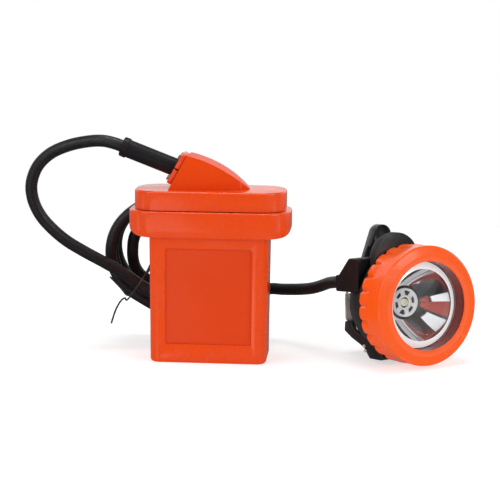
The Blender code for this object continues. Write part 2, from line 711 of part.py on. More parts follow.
def tie():
    """Thin plastic-coated wire: a loop round the hank's lower left side, a twist and two loose tails."""
    route = [
        (-67.4, 23.4, 45.2), (-63.2, 23.2, 41.0), (-59.0, 22.8, 36.6), (-56.4, 22.6, 33.6),
        (-52.6, 20.2, 34.8), (-49.6, 17.6, 39.0), (-46.2, 17.4, 44.0), (-43.2, 21.2, 49.4),
        (-42.0, 27.0, 52.6), (-41.8, 42.0, 53.0), (-42.2, 58.6, 52.4), (-44.8, 61.2, 47.8),
        (-50.0, 61.4, 38.8), (-55.4, 60.4, 31.0), (-57.0, 57.8, 28.8), (-57.4, 42.0, 28.6),
        (-57.4, 27.6, 29.2), (-57.8, 23.8, 31.4), (-60.2, 22.6, 29.8), (-63.6, 22.6, 23.8),
        (-66.6, 22.8, 14.8),
    ]
    tube("wire_tie", smooth_route(in_mm(route), 4.0 * MM), 0.6 * MM, RUBBER, resolution=1)


# ---------------------------------------------------------------- headpiece

def bezel():
    """The screwed lamp ring: a bevelled front, a long smooth band and a scalloped grip at its rear."""
    steps = SCALLOPS * 3
    wall = [
        (27.2, -0.5), (27.7, 0.0), (30.8, 0.0), (35.4, -0.7), (36.4, -1.3), (36.7, -2.3),
        (36.5, -8.0), (36.5, -13.2), (36.6, -15.6), (36.6, -21.8),
    ]
    thread = THREAD_BORE / MM
    inside = [(thread, -21.8), (thread, -12.9), (31.4, -12.9), (31.4, -9.2), (27.2, -9.2)]
    profile = [(r * MM, z * MM) for r, z in [*wall, *inside]]
    ring = solidified(turned("bezel_ring", profile, ORANGE, LAMP_AXES, steps=steps))
    for vertex in ring.data.vertices:
        x, y, z = vertex.co
        radius = math.hypot(x, y)
        if radius > THREAD_BORE + 1 * MM and z < GRIP_START:
            phase = math.atan2(y, x) * SCALLOPS / math.tau
            notch = 1 - abs(math.sin(math.pi * phase))
            shrink = 1 - SCALLOP_DEPTH * notch ** 2 / radius
            vertex.co = (x * shrink, y * shrink, z)
    return ring


def lens_pack():
    """What the ring pushes back when it is screwed down: a slip gasket and the clear lens."""
    ring_gasket = [(31.0, -9.5), (31.0, -10.3), (27.6, -10.3), (27.6, -9.5)]
    turned("front_gasket", [(r * MM, z * MM) for r, z in ring_gasket], RUBBER, LAMP_AXES, steps=36)
    lens = [(0.0, -10.6), (30.6, -10.6), (31.0, -11.0), (31.0, -12.8), (0.0, -12.8)]
    turned("lens", [(r * MM, z * MM) for r, z in lens], GLASS, LAMP_AXES, steps=36)
    seal = [(32.7, -13.1), (32.7, -14.5), (30.7, -14.5), (30.7, -13.1)]
    turned("lens_seal", [(r * MM, z * MM) for r, z in seal], RUBBER, LAMP_AXES, steps=36)


def reflector():
    """A thin parabolic cup with a flat rim; its neck sits round the light source."""
    front, neck, vertex = 14.2 * MM, LED_PLANE - 0.4 * MM, 29.2 * MM
    scale = 40.9 * MM
    inner = []
    for step in range(6):
        depth = front + (neck - front) * step / 5
        inner.append((math.sqrt(scale * (vertex - depth)), -depth))
    wall = 0.8 * MM
    outer = [(radius + wall, height - wall * 0.3) for radius, height in inner[1:]]
    rim = 30.2 * MM
    mouth = inner[0][0]
    rim_front, rim_back = -13.3 * MM, -14.5 * MM
    profile = [(mouth, rim_front), (rim, rim_front), (rim, rim_back), (outer[0][0] + 0.4 * MM, rim_back)]
    profile += [*outer, *reversed(inner)]
    turned("reflector", profile, CHROME, LAMP_AXES, steps=36)


def light_source():
    ring = turned("led_retainer_ring", [
        (9.2 * MM, -25.4 * MM), (9.2 * MM, -27.0 * MM), (3.2 * MM, -27.0 * MM), (3.2 * MM, -26.0 * MM),
        (4.6 * MM, -25.4 * MM),
    ], CHROME, LAMP_AXES, steps=24)
    solidified(ring)
    for index in range(6):
        angle = math.radians(60 * index + 30)
        centre = Vector((6.6 * MM * math.cos(angle), 6.6 * MM * math.sin(angle), 0))
        cut(ring, rod(
            f"retainer_window_{index}", centre + Vector((0, 0, -30 * MM)), centre + Vector((0, 0, -20 * MM)),
            1.35 * MM, None, LAMP_AXES, 8,
        ))
    dome = [(0.0, -24.9), (1.2, -25.2), (2.1, -26.0), (2.3, -27.0), (0.0, -27.0)]
    turned("main_led", [(r * MM, z * MM) for r, z in dome], PHOSPHOR, LAMP_AXES, steps=16)
    led_board = [(0.0, -27.3), (13.0, -27.3), (13.0, -28.9), (0.0, -28.9)]
    turned("led_board", [(r * MM, z * MM) for r, z in led_board], BOARD, LAMP_AXES, steps=24)
    sink = [
        (0.0, -29.2), (14.6, -29.2), (14.6, -31.0), (12.4, -31.0), (12.4, -32.4), (14.6, -32.4),
        (14.6, -34.4), (0.0, -34.4),
    ]
    turned("heat_sink", [(r * MM, z * MM) for r, z in sink], ALUMINIUM, LAMP_AXES, steps=24)
    driver_board = [(0.0, -39.0), (12.2, -39.0), (12.2, -40.6), (0.0, -40.6)]
    turned("driver_board", [(r * MM, z * MM) for r, z in driver_board], BOARD, LAMP_AXES, steps=24)
    for name, side, spec in (("lamp_lead_positive", 1, RED), ("lamp_lead_negative", -1, BLACK)):
        offset = side * 1.5
        route = in_mm([
            (-27.4, 11.9 + offset, -37.0), (-25.4, 10.9 + offset, -36.6), (-21.5, 8.4 + offset, -33.5),
            (-17.5, 4.4 + offset, -30.0), (-14.4, 1.0 + offset, -28.3),
        ])
        tube(name, smooth_route(route, 3.0 * MM), 0.7 * MM, spec, LAMP_AXES, 1)


def shell_cavity():
    """The hollow of the shell, with room left for a central post under the heat sink."""
    profile = [
        (0.0, -8.0), (29.2, -8.0), (29.2, -27.0), (28.6, -35.0), (27.3, -40.0), (24.8, -44.2),
        (22.0, -46.0), (15.0, -46.0), (15.0, -34.8), (12.6, -34.8), (12.6, -46.0), (0.0, -46.0),
    ]
    profile = [(r * MM, z * MM) for r, z in profile]
    return solidified(turned("shell_cavity", profile, None, LAMP_AXES, steps=36))


def headpiece_shell():
    """A dome with a threaded front, an arch on its shoulder and a boss behind that for the switch."""
    body = [
        (0.0, -14.8), (SHELL_THREAD / MM, -14.8), (SHELL_THREAD / MM, -22.3), (34.6, -22.3), (34.6, -26.0),
        (33.2, -26.9), (32.4, -32.0), (31.0, -37.0), (29.5, -40.6), (27.7, -44.0), (26.1, -46.6),
        (26.1, -47.6), (24.0, -48.4), (0.0, -48.4),
    ]
    body = [(r * MM, z * MM) for r, z in body]
    shell = solidified(turned("headpiece_shell", body, BLACK, LAMP_AXES, steps=48))
    hump_x, hump_y, hump_radius = SWITCH_HUMP
    hump = turned("switch_hump", [
        (0.0, -22.6 * MM), (hump_radius - 1.0 * MM, -22.6 * MM), (hump_radius, -23.6 * MM),
        (hump_radius, -28.2 * MM), (hump_radius - 0.6 * MM, -28.8 * MM), (0.0, -28.8 * MM),
    ], None, LAMP_AXES, Matrix.Translation((hump_x, hump_y, 0)), 32)
    x, y = SWITCH_AXIS
    boss = rod("spindle_boss", (x, y, -24 * MM), (x, y, -SHELL_BACK - 0.2 * MM), SWITCH_BOSS, None, LAMP_AXES)
    pads = []
    for index, (pad_x, pad_y) in enumerate(HOOK_SCREWS, 1):
        front, back = (pad_x, pad_y, -42 * MM), (pad_x, pad_y, -47 * MM)
        pads.append(rod(f"hook_pad_{index}", front, back, 3.2 * MM, None, LAMP_AXES, 16))
    pocket = rod("rotor_pocket", (x, y, -31 * MM), (x, y, -43.6 * MM), 5.0 * MM, None, LAMP_AXES)
    bore = rod("spindle_bore", (x, y, -30 * MM), (x, y, -60 * MM), 2.1 * MM, None, LAMP_AXES)
    outside, inside = in_mm([(-33.5, 14.9, -37), (-22, 9.6, -37)])
    lead_hole = rod("lead_hole", outside, inside, 3.2 * MM, None, LAMP_AXES, 16)
    join(shell, solidified(hump), boss)
    cut(shell, shell_cavity())
    join(shell, *pads)
    cut(shell, pocket, bore, lead_hole)
    for index, (hole_x, hole_y) in enumerate(HOOK_SCREWS, 1):
        front, back = (hole_x, hole_y, -43 * MM), (hole_x, hole_y, -60 * MM)
        cut(shell, rod(f"hook_thread_{index}", front, back, 1.3 * MM, None, LAMP_AXES, 12))
    return shell


def shell_clearance():
    """The shell's outer form a gap larger, which shapes the pieces that sit on it."""
    profile = [
        (0.0, -10.0), (35.0, -10.0), (35.0, -26.3), (33.6, -27.1), (32.8, -32.2), (31.4, -37.2),
        (29.9, -40.8), (28.1, -44.2), (26.5, -46.8), (26.5, -47.9), (24.1, -48.7), (0.0, -48.7),
    ]
    profile = [(r * MM, z * MM) for r, z in profile]
    return solidified(turned("shell_clearance", profile, None, LAMP_AXES, steps=48))


def side_slab(name, outline, low, high, spec):
    """An outline of (depth behind the front, height) points, extruded sideways across the headpiece."""
    sideways = Matrix(((0, 0, 1, 0), (0, 1, 0, 0), (-1, 0, 0, 0), (0, 0, 0, 1)))
    outline = [(depth * MM, height * MM) for depth, height in outline]
    return slab(name, [outline], low, high, spec, LAMP_AXES, sideways)


def cable_boot(clearance):
    back = BOOT_BACK / MM
    outline = [(27.4, 8.7), (27.4, 29.4), (36.5, 29.4), (48.0, 18.4), (back, 18.0), (back, 7.8)]
    boot = side_slab("cable_boot", outline, BOOT_FACE, -17.5 * MM, RUBBER)
    add_bevel(boot, 1.4 * MM, 2)
    hump_x, hump_y, hump_radius = SWITCH_HUMP
    front, rear = (hump_x, hump_y, -10 * MM), (hump_x, hump_y, -29.1 * MM)
    hump = rod("hump_clearance", front, rear, hump_radius + GAP, None, LAMP_AXES, 32)
    behind = box("boot_trim", (-24.4 * MM, -5 * MM, -70 * MM), (0, 40 * MM, -47.2 * MM), None, LAMP_AXES)
    cut(boot, clearance, hump, behind)
    return boot


def charging_block(clearance):
    outline = [
        (22.6, -20.0), (22.6, -33.0), (24.4, -34.2), (36.0, -34.4), (38.4, -32.2), (41.0, -29.0),
        (46.0, -26.7), (55.0, -23.7), (63.2, -19.6), (62.4, -13.4), (57.6, -13.4), (52.6, -18.2),
        (49.6, -19.6), (40.0, -19.6),
    ]
    block = side_slab("charging_block", outline, -BLOCK_HALF_WIDTH, BLOCK_HALF_WIDTH, BLACK)
    add_bevel(block, 0.6 * MM, 1, 20)
    cut(block, clearance)
    for index, (height, depth) in enumerate(CONTACTS, 1):
        seat = Vector((-BLOCK_HALF_WIDTH, height, -depth))
        rivet = [(0.0, 1.2), (0.7, 1.2), (1.1, 0.8), (1.1, 0.0), (0.7, 0.0), (0.6, -1.0), (0.0, -1.0)]
        rivet = [(r * MM, z * MM) for r, z in rivet]
        matrix = Matrix.Translation(seat - Vector((GAP, 0, 0))) @ sideways_left()
        turned(f"charging_contact_{index}", rivet, STEEL, LAMP_AXES, matrix, 12)
        hole_end = seat + Vector((1.3 * MM, 0, 0))
        hole_start = seat - Vector((2.2 * MM, 0, 0))
        cut(block, rod(f"contact_hole_{index}", hole_start, hole_end, 0.9 * MM, None, LAMP_AXES, 12))
    return block


def sideways_left():
    """Turns local Z to the headpiece's left."""
    return Vector((-1, 0, 0)).to_track_quat("Z", "Y").to_matrix().to_4x4()


def cap_hook():
    """A spring-steel strip: its foot is screwed to the shell, it slopes away, folds over and hangs down."""
    profile = [(49.4, -18.2), (49.4, -10.0), (52.2, -5.6), (55.4, 0.2), (57.0, 3.4)]
    profile += arc(58.8, 3.2, 1.8, 170, 5, 5)
    profile += [(61.0, 1.0), (61.0, -12.2)]
    points = [(0, height * MM, -depth * MM) for depth, height in profile]
    across = (1, 0, 0)
    hook = strip("cap_hook", points, across, HOOK_HALF_WIDTH, HOOK_THICKNESS, STEEL, 0.3 * MM, LAMP_AXES)
    for index, (x, y) in enumerate(HOOK_SCREWS, 1):
        front, back = (x, y, -45 * MM), (x, y, -52 * MM)
        cut(hook, rod(f"hook_hole_{index}", front, back, 1.4 * MM, None, LAMP_AXES, 16))
        seat = (x, y, -(profile[0][0] * MM + HOOK_THICKNESS / 2 + GAP))
        socket_screw(f"hook_screw_{index}", seat, (0, 0, 1), 2.3 * MM, 1.0 * MM, 5.4 * MM, LAMP_AXES)
    return hook


def lever_outline():
    """Tangent outline round the lever's hub and its head."""
    lean = math.degrees(math.asin((LEVER_HEAD - LEVER_HUB) / LEVER_LENGTH))
    hub_arc = arc(0, 0, LEVER_HUB, 90 + lean, 270 - lean, 10)
    head_arc = arc(LEVER_LENGTH, 0, LEVER_HEAD, -90 - lean, 90 + lean, 12)
    return hub_arc + head_arc


def switch():
    """Lever, spindle and rotor turn together about the spindle's axis.

    The lever's head comes forward past the shell's edge, so its underside is cut back round the hub.
    """
    x, y = SWITCH_AXIS
    axis = new_empty("switch_axis", Matrix.Translation((x, y, 0)), LAMP_AXES)
    arm_front, head_front, back = -48.9 * MM, -46.2 * MM, -52.3 * MM
    turn = Matrix.Rotation(LEVER_ANGLE, 4, "Z")
    lever = slab("switch_lever", [lever_outline()], back, head_front, BLACK, axis, turn)
    add_bevel(lever, 0.6 * MM, 1, 50)
    relief = rod("lever_relief", (0, 0, arm_front), (0, 0, -40 * MM), 11.5 * MM, None, axis, 24)
    hub = turned("lever_hub", [
        (0.0, -50.0 * MM), (4.4 * MM, -50.0 * MM), (4.4 * MM, -52.8 * MM), (0.0, -52.8 * MM),
    ], None, axis, steps=24)
    dish_radius = 11.5 * MM
    editor = bmesh.new()
    bmesh.ops.create_uvsphere(editor, u_segments=20, v_segments=16, radius=dish_radius)
    middle = turn @ Vector((LEVER_LENGTH, 0, head_front + dish_radius - 1.6 * MM))
    editor.transform(Matrix.Translation(middle))
    dish = mesh_object("lever_dish", editor, None, axis)
    eye_low = turn @ Vector((11.8 * MM, 0, -60 * MM))
    eye_high = turn @ Vector((11.8 * MM, 0, -40 * MM))
    eye = rod("lever_eye", eye_low, eye_high, 0.9 * MM, None, axis, 12)
    bore = rod("lever_bore", (0, 0, -70 * MM), (0, 0, -30 * MM), 2.1 * MM, None, axis, 24)
    cut(lever, relief)
    join(lever, solidified(hub))
    cut(lever, dish, eye, bore)
    spindle = [(0.0, -33.6), (2.0, -33.6), (2.0, -52.4), (1.1, -52.4), (1.1, -48.2), (0.0, -48.2)]
    turned("switch_spindle", [(r * MM, z * MM) for r, z in spindle], STEEL, axis, steps=24)
    rotor = turned("switch_rotor", [
        (4.6 * MM, -34.2 * MM), (4.6 * MM, -38.2 * MM), (2.15 * MM, -38.2 * MM), (2.15 * MM, -34.2 * MM),
    ], BRASS, axis, steps=24)
    flat = box("rotor_flat", (3.4 * MM, -6 * MM, -45 * MM), (8 * MM, 6 * MM, -30 * MM), None, axis)
    cut(solidified(rotor), flat)
    turned("spindle_o_ring", [
        (3.3 * MM, -42.0 * MM), (3.3 * MM, -43.2 * MM), (2.15 * MM, -43.2 * MM), (2.15 * MM, -42.0 * MM),
    ], RUBBER, axis, steps=16)
    socket_screw("lever_screw", (0, 0, -53.1 * MM), (0, 0, 1), 2.9 * MM, 0.9 * MM, 4.0 * MM, axis)
    leaf = in_mm([(-4.5, 15.9, -35.4), (-3.4, 16.7, -35.4), (-4.1, 17.6, -35.4), (-6.9, 18.0, -35.4)])
    strip("switch_contact_spring", leaf, (0, 0, 1), 1.2 * MM, 0.4 * MM, BRASS, 0.0, LAMP_AXES)


def headpiece():
    bezel()
    lens_pack()
    reflector()
    light_source()
    clearance = shell_clearance()
    headpiece_shell()
    cable_boot(clearance)
    charging_block(clearance)
    cap_hook()
    switch()


LAMP_AXES = new_empty(
    "headpiece_axes",
    Matrix.Translation(LAMP_FRONT)
    @ Matrix.Rotation(LAMP_TURN, 4, "Z")
    @ Matrix.Rotation(math.radians(90) - LAMP_TILT, 4, "X"),
)
bpy.context.view_layer.update()
battery_case()
battery_lid()
gland_halves()
strain_relief()
lid_fittings()
belt_loop()
battery_insides()
headpiece()
cord()
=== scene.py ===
"""Looks of the miner's cap lamp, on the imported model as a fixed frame.

Lengths are in metres, written in millimetres with MM or mm(). Outlines and routes are lists of points in
millimetres. The frame's origin is the centre of the battery box's base, +X runs towards the headpiece, +Y away
from the box's front and +Z up. The headpiece has axes of its own: x sideways, y up and z forward along the beam,
from the centre of the bezel's front face.
"""
import json
import math

import bmesh
import bpy
from mathutils import Matrix, Vector


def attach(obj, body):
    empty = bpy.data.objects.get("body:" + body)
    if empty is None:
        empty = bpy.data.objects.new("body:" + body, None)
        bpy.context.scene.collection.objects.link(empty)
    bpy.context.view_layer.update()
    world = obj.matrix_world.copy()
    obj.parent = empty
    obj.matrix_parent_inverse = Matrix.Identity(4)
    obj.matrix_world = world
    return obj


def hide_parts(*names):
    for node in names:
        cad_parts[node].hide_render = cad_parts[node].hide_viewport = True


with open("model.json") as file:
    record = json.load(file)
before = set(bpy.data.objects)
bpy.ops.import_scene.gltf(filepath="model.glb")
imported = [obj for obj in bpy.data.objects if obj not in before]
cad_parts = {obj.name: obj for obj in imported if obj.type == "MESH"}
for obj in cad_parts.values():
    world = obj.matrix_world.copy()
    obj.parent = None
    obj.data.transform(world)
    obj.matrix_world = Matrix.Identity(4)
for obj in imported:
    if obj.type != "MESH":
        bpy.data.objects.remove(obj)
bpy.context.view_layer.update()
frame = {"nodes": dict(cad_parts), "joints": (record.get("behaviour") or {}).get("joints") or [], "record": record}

MM = 0.001
BODY = "lamp"


def mm(*values):
    """Lengths in metres, from millimetres."""
    return tuple(value * MM for value in values)


def headpiece_axes():
    """The headpiece's axes, from the joint that the bezel turns on."""
    joint = next(each for each in frame["joints"] if each["name"] == "bezel_turn")
    forward = Vector(joint["axis"]).normalized()
    sideways = Vector((0, 0, 1)).cross(forward).normalized()
    matrix = Matrix((sideways, forward.cross(sideways), forward)).transposed().to_4x4()
    matrix.translation = Vector(joint["pos_m"])
    return matrix


HEAD = headpiece_axes()

# Camera: place in metres, and degrees
CAMERA_PLACE = (0.09254, -0.91337, 0.22266)
CAMERA_TURN = 4.272
CAMERA_PITCH = 80.444
CAMERA_ROLL = 0.54
CAMERA_LENS = 108

# Light: what the surroundings give off, for lighting and for mirroring behind and before the object
TENT_FRONT = 0.29
TENT_SIDE = 1.05
BACKDROP = 0.85
ROOM = 0.03
WARM = (0.55, 0.050, 0.025)
# Round cards: direction, degrees across and strength
WHITE_CARDS = [((0.45, -0.31, -0.83), 9.0, 0.7), ((0.92, -0.32, -0.17), 7.0, 0.9), ((-0.95, -0.20, -0.19), 8.0, 0.7)]
# Cards that the reflector sees: start and end round the beam, nearest and furthest from it in degrees, strength
WHITE_WEDGES = [(-175, -152, 43, 78, 1.1), (105, 143, 38, 78, 1.0), (-92, -84, 54, 74, 0.7), (-76, -70, 54, 74, 0.6)]
WARM_WEDGES = [(148, 187, 18, 78, 0.8), (187, 214, 18, 42, 0.8)]
FLOOR_RADIUS = 0.8
FLOOR_FADE = (0.34, 0.62)

# Battery box
CASE_HALF = mm(36.5, 19.5)
CASE_CORNER = 6.0 * MM
CASE_DRAFT = 0.6 * MM
COLLAR_BOTTOM = 78.4 * MM
COLLAR_TOP = 94.4 * MM
COLLAR_HALF = mm(49.8, 23.0)
COLLAR_CORNER = 17.0 * MM
COLLAR_SWEEP = 5.6 * MM
LID_HALF = mm(46.6, 20.5)
LID_CORNER = 16.0 * MM
LID_BOTTOM = 94.8 * MM
LID_TOP = 106.5 * MM
PANEL = mm(-26.2, 27.0, 12.0, 71.6)  # left, right, bottom and top
PANEL_DEPTH = 0.9 * MM
LID_SCREW_AT = mm(40.8, 10.0)
LID_SCREW_SEAT = 83.1 * MM
HOOD_HALF_WIDTH = 11.8 * MM
HOOD_SHOULDER_X = -2.0 * MM
HOOD_NOSE = 26.0 * MM
HOOD_ARC = mm(-31.8, 49.6, 80.0)  # centre x, centre z and radius of the ridge
HOOD_FOOT_X = -25.4 * MM
HOOD_SLANT = math.radians(61.0)
HOOD_TIP_Z = 127.4 * MM
GLAND = mm(20.0, 20.4, 2.9)  # width, length and thickness
GLAND_SCREWS = mm(7.4, 7.2)
BELT_SCREW_HEIGHTS = mm(21.5, 66.5)

# Cord
CORD_RADIUS = 3.8 * MM
TIE_RADIUS = 0.6 * MM
SLEEVE_RADIUS = 5.6 * MM
SLEEVE_START = Vector((-21.3, 0.0, 118.7)) * MM
SLEEVE_END = Vector((-55.4, 0.0, 131.7)) * MM
SLEEVE_ALONG = (SLEEVE_END - SLEEVE_START).normalized()
HANK_LEFT = mm(-36.5, 60.0, 31.6)  # centre x, centre z and radius of an outer turn's line
HANK_RIGHT = mm(1.8, 31.4, 27.2)
LOOP_ROUTE = [
    (-60.2, 0.2, 133.3), (-67.5, 1.3, 134.6), (-77.0, 3.2, 133.9), (-89.5, 6.0, 131.0), (-101.6, 8.4, 125.6),
    (-110.4, 10.3, 117.2), (-114.9, 12.0, 106.2), (-114.4, 13.4, 95.6), (-110.3, 14.6, 85.8),
    (-103.6, 15.8, 77.4), (-94.2, 16.8, 69.2), (-82.4, 18.0, 61.9), (-69.8, 19.6, 54.9), (-57.4, 21.6, 47.4),
]
# Where each turn runs: turns gone, how far inside the outer line, and distance behind the box's middle
HANK_LAYERS = [
    (0.00, 9.0, 23.0), (0.03, 9.0, 23.2), (0.16, 0.5, 32.6), (1.02, 0.0, 32.6), (1.14, 0.0, 40.2),
    (1.94, 0.0, 40.2), (2.10, 7.9, 40.4), (2.62, 8.0, 40.4), (2.80, 11.5, 41.2), (2.88, 12.4, 43.6),
    (3.00, 8.6, 48.2), (3.16, 0.2, 48.0), (3.80, 0.2, 48.0), (3.98, 0.8, 55.8),
]
LAMP_ROUTE = [
    (-42.0, 55.8, 27.6), (-28.0, 55.8, 22.8), (-12.0, 55.8, 21.6), (4.0, 55.6, 24.4), (17.0, 55.2, 28.8),
    (27.6, 54.2, 32.6), (35.2, 51.8, 34.4), (41.4, 47.8, 34.9), (48.0, 42.9, 35.9), (55.2, 37.8, 37.2),
    (62.2, 31.9, 39.2), (68.2, 26.6, 42.0), (72.8, 21.4, 44.8),
]
TIE_ROUTE = [
    (-67.4, 23.4, 45.2), (-63.2, 23.2, 41.0), (-59.0, 22.8, 36.6), (-56.4, 22.6, 33.6), (-52.6, 20.2, 34.8),
    (-49.6, 17.6, 39.0), (-46.2, 17.4, 44.0), (-43.2, 21.2, 49.4), (-42.0, 27.0, 52.6), (-41.8, 42.0, 53.0),
    (-42.2, 58.6, 52.4), (-44.8, 61.2, 47.8), (-50.0, 61.4, 38.8), (-55.4, 60.4, 31.0), (-57.0, 57.8, 28.8),
    (-57.4, 42.0, 28.6), (-57.4, 27.6, 29.2), (-57.8, 23.8, 31.4), (-60.2, 22.6, 29.8), (-63.6, 22.6, 23.8),
    (-66.6, 22.8, 14.8),
]

# Headpiece
BEZEL_RADIUS = 36.2 * MM
SCALLOPS = 24
SCALLOP_PHASE = math.radians(12.2)
SCALLOP_RUN = mm(-13.2, -17.0)  # where the lobes start and where they are full
BOOT_AXIS = mm(-29.0, 12.8)
BOOT_BACK = 51.5 * MM
BOOT_SIDES = mm(-33.5, -17.5)
BLOCK_HALF_WIDTH = 20 * MM
CONTACTS = (mm(-26.9, -40.2), mm(-29.6, -39.0))  # height and depth on the block's side
SWITCH_HUMP = mm(-6.5, 27.3, 16.9)  # centre x, centre y and radius
SWITCH_AXIS = mm(-6.5, 23.5)
LEVER_LENGTH = 18.6 * MM
LEVER_DEGREES = 70.2
LEVER_BACK = -52.3 * MM
LEVER_ARM = -48.9 * MM
LEVER_HEAD = -46.2 * MM


# ---------------- places and node trees

def moved(x, y, z):
    return Matrix.Translation((x, y, z))


def turned(degrees, axis):
    return Matrix.Rotation(math.radians(degrees), 4, axis)


def aimed(direction, axis="Z"):
    """Turns one axis to a direction."""
    return Vector(direction).to_track_quat(axis, "Y").to_matrix().to_4x4()


def added(name, data, matrix=None):
    obj = bpy.data.objects.new(name, data)
    bpy.context.scene.collection.objects.link(obj)
    if matrix is not None:
        obj.matrix_world = matrix
    return obj


class Tree:
    """The node tree of a material or world, with short ways to add to it."""

    def __init__(self, owner):
        owner.use_nodes = True
        self.nodes, self.links = owner.node_tree.nodes, owner.node_tree.links

    def set(self, socket, value):
        """Puts a value on a socket, or joins another node's output to it."""
        if isinstance(value, bpy.types.NodeSocket):
            self.links.new(value, socket)
        else:
            socket.default_value = value

    def add(self, kind, inputs=None, **settings):
        """A node with its settings, and then its inputs by name or number."""
        made = self.nodes.new("ShaderNode" + kind)
        for name, value in settings.items():
            setattr(made, name, value)
        for socket, value in (inputs or {}).items():
            self.set(made.inputs[socket], value)
        return made

    def remap(self, value, start, end, low=0.0, high=1.0, kind="LINEAR"):
        inputs = {"Value": value, "From Min": start, "From Max": end, "To Min": low, "To Max": high}
        return self.add("MapRange", inputs, interpolation_type=kind).outputs["Result"]

    def blend(self, share, colour, other):
        inputs = {"Factor": share, "A": colour, "B": (*other, 1.0)}
        return self.add("Mix", inputs, data_type="RGBA").outputs["Result"]

    def mix(self, share, first, second):
        return self.add("MixShader", {0: share, 1: first, 2: second}).outputs[0]

    def grain(self, scale, detail, stretch=(1, 1, 1)):
        """Noise over the surface; scale is in features a metre."""
        place = self.add("TexCoord").outputs["Object"]
        place = self.add("Mapping", {"Vector": place, "Scale": stretch}).outputs["Vector"]
        return self.add("TexNoise", {"Vector": place, "Scale": scale, "Detail": detail}).outputs["Fac"]

    def patchy(self, scale, detail, low, high):
        """A value that wanders between two others over the surface."""
        return self.remap(self.grain(scale, detail), *NOISE_MIDDLE, low, high)


# ---------------- camera, light and floor

def add_camera():
    """Eye level a little above the box, slightly to its right."""
    matrix = moved(*CAMERA_PLACE) @ turned(CAMERA_TURN, "Z") @ turned(CAMERA_PITCH, "X") @ turned(CAMERA_ROLL, "Z")
    camera = added("camera", bpy.data.cameras.new("camera"), matrix)
    camera.data.lens = CAMERA_LENS
    camera.data.sensor_width = 36
    bpy.context.scene.camera = camera


def add_softbox(name, place, target, size, watts, through_lens=False):
    light = bpy.data.lights.new(name, "AREA")
    light.shape = "RECTANGLE"
    light.size, light.size_y = size
    light.energy = watts
    obj = added(name, light, moved(*place) @ aimed(Vector(target) - Vector(place), "-Z"))
    obj.visible_transmission = through_lens


class Sky(Tree):
    """The world's tree, which builds brightness from a direction."""

    def __init__(self):
        world = bpy.data.worlds.new("studio")
        bpy.context.scene.world = world
        super().__init__(world)
        self.nodes.clear()
        self.direction = self.add("TexCoord").outputs["Generated"]
        self.x, self.y, self.z = self.add("SeparateXYZ", {0: self.direction}).outputs

    def math(self, operation, first, second=0.0):
        return self.add("Math", {0: first, 1: second}, operation=operation).outputs[0]

    def ramp(self, value, start, end, low=0.0, high=1.0):
        return self.remap(value, start, end, low, high, "SMOOTHSTEP")

    def dot(self, direction):
        return self.add("VectorMath", {0: self.direction, 1: direction}, operation="DOT_PRODUCT").outputs["Value"]

    def card(self, direction, degrees, strength):
        """A round card seen in one direction, with a soft rim."""
        inner, outer = (math.cos(math.radians(degrees * share)) for share in (0.85, 1.15))
        return self.ramp(self.dot(Vector(direction).normalized()), outer, inner, 0.0, strength)

    def wedge(self, start, end, near, far, strength):
        """A card between two planes through the beam's axis and two cones round it."""
        share = strength
        for angle, side in ((start, 1), (end, -1)):
            turn = math.radians(angle)
            across = HEAD.to_3x3() @ Vector((-math.sin(turn), math.cos(turn), 0)) * side
            share = self.math("MULTIPLY", share, self.ramp(self.dot(across), 0.0, 0.035))
        along = self.dot(HEAD.to_3x3() @ Vector((0, 0, 1)))
        for degrees, side in ((near, -1), (far, 1)):
            edge = math.cos(math.radians(degrees))
            share = self.math("MULTIPLY", share, self.ramp(along, edge, edge + side * 0.04))
        return share

    def light(self, strength, colour=(1, 1, 1)):
        return self.add("Background", {"Color": (*colour, 1), "Strength": strength}).outputs[0]


def add_world():
    """A white tent, brighter at its sides. What mirrors in the object is a backdrop, a dark room and a few cards."""
    sky = Sky()
    rays = sky.add("LightPath").outputs
    tent = sky.light(sky.ramp(sky.math("ABSOLUTE", sky.x), 0.2, 0.95, TENT_FRONT, TENT_SIDE))
    backdrop = sky.math("MULTIPLY", sky.ramp(sky.y, 0.0, 0.55), sky.ramp(sky.z, 0.70, 0.40))
    backdrop = sky.math("MULTIPLY", backdrop, sky.ramp(sky.z, -0.12, 0.04, 0.12, BACKDROP))
    room = sky.math("ADD", backdrop, ROOM)
    for card in WHITE_CARDS:
        room = sky.math("ADD", room, sky.card(*card))
    for wedge in WHITE_WEDGES:
        room = sky.math("ADD", room, sky.wedge(*wedge))
    mirrored = sky.light(room)
    for wedge in WARM_WEDGES:
        mirrored = sky.add("AddShader", {0: mirrored, 1: sky.light(sky.wedge(*wedge), WARM)}).outputs[0]
    sharp = sky.math("MAXIMUM", rays["Is Glossy Ray"], rays["Is Transmission Ray"])
    sky.add("OutputWorld", {0: sky.mix(rays["Is Camera Ray"], sky.mix(sharp, tent, mirrored), sky.light(1.0))})


def floor_paper():
    """White paper that glows a little, and thins out to nothing at its rim."""
    material = surface("floor_paper", (0.55, 0.55, 0.55), 0.9, specular=0.0, glow=0.60)
    tree = Tree(material)
    place = tree.add("TexCoord").outputs["Object"]
    out = tree.add("VectorMath", {0: place}, operation="LENGTH").outputs["Value"]
    paper = tree.nodes["Principled BSDF"].outputs[0]
    faded = tree.mix(tree.remap(out, *FLOOR_FADE), paper, tree.add("BsdfTransparent").outputs[0])
    tree.set(tree.nodes["Material Output"].inputs["Surface"], faded)
    return material


def add_floor():
    editor = bmesh.new()
    bmesh.ops.create_circle(editor, cap_ends=True, segments=96, radius=FLOOR_RADIUS)
    floor = mesh_object("floor", editor, floor_paper())
    floor.visible_glossy = floor.visible_transmission = False


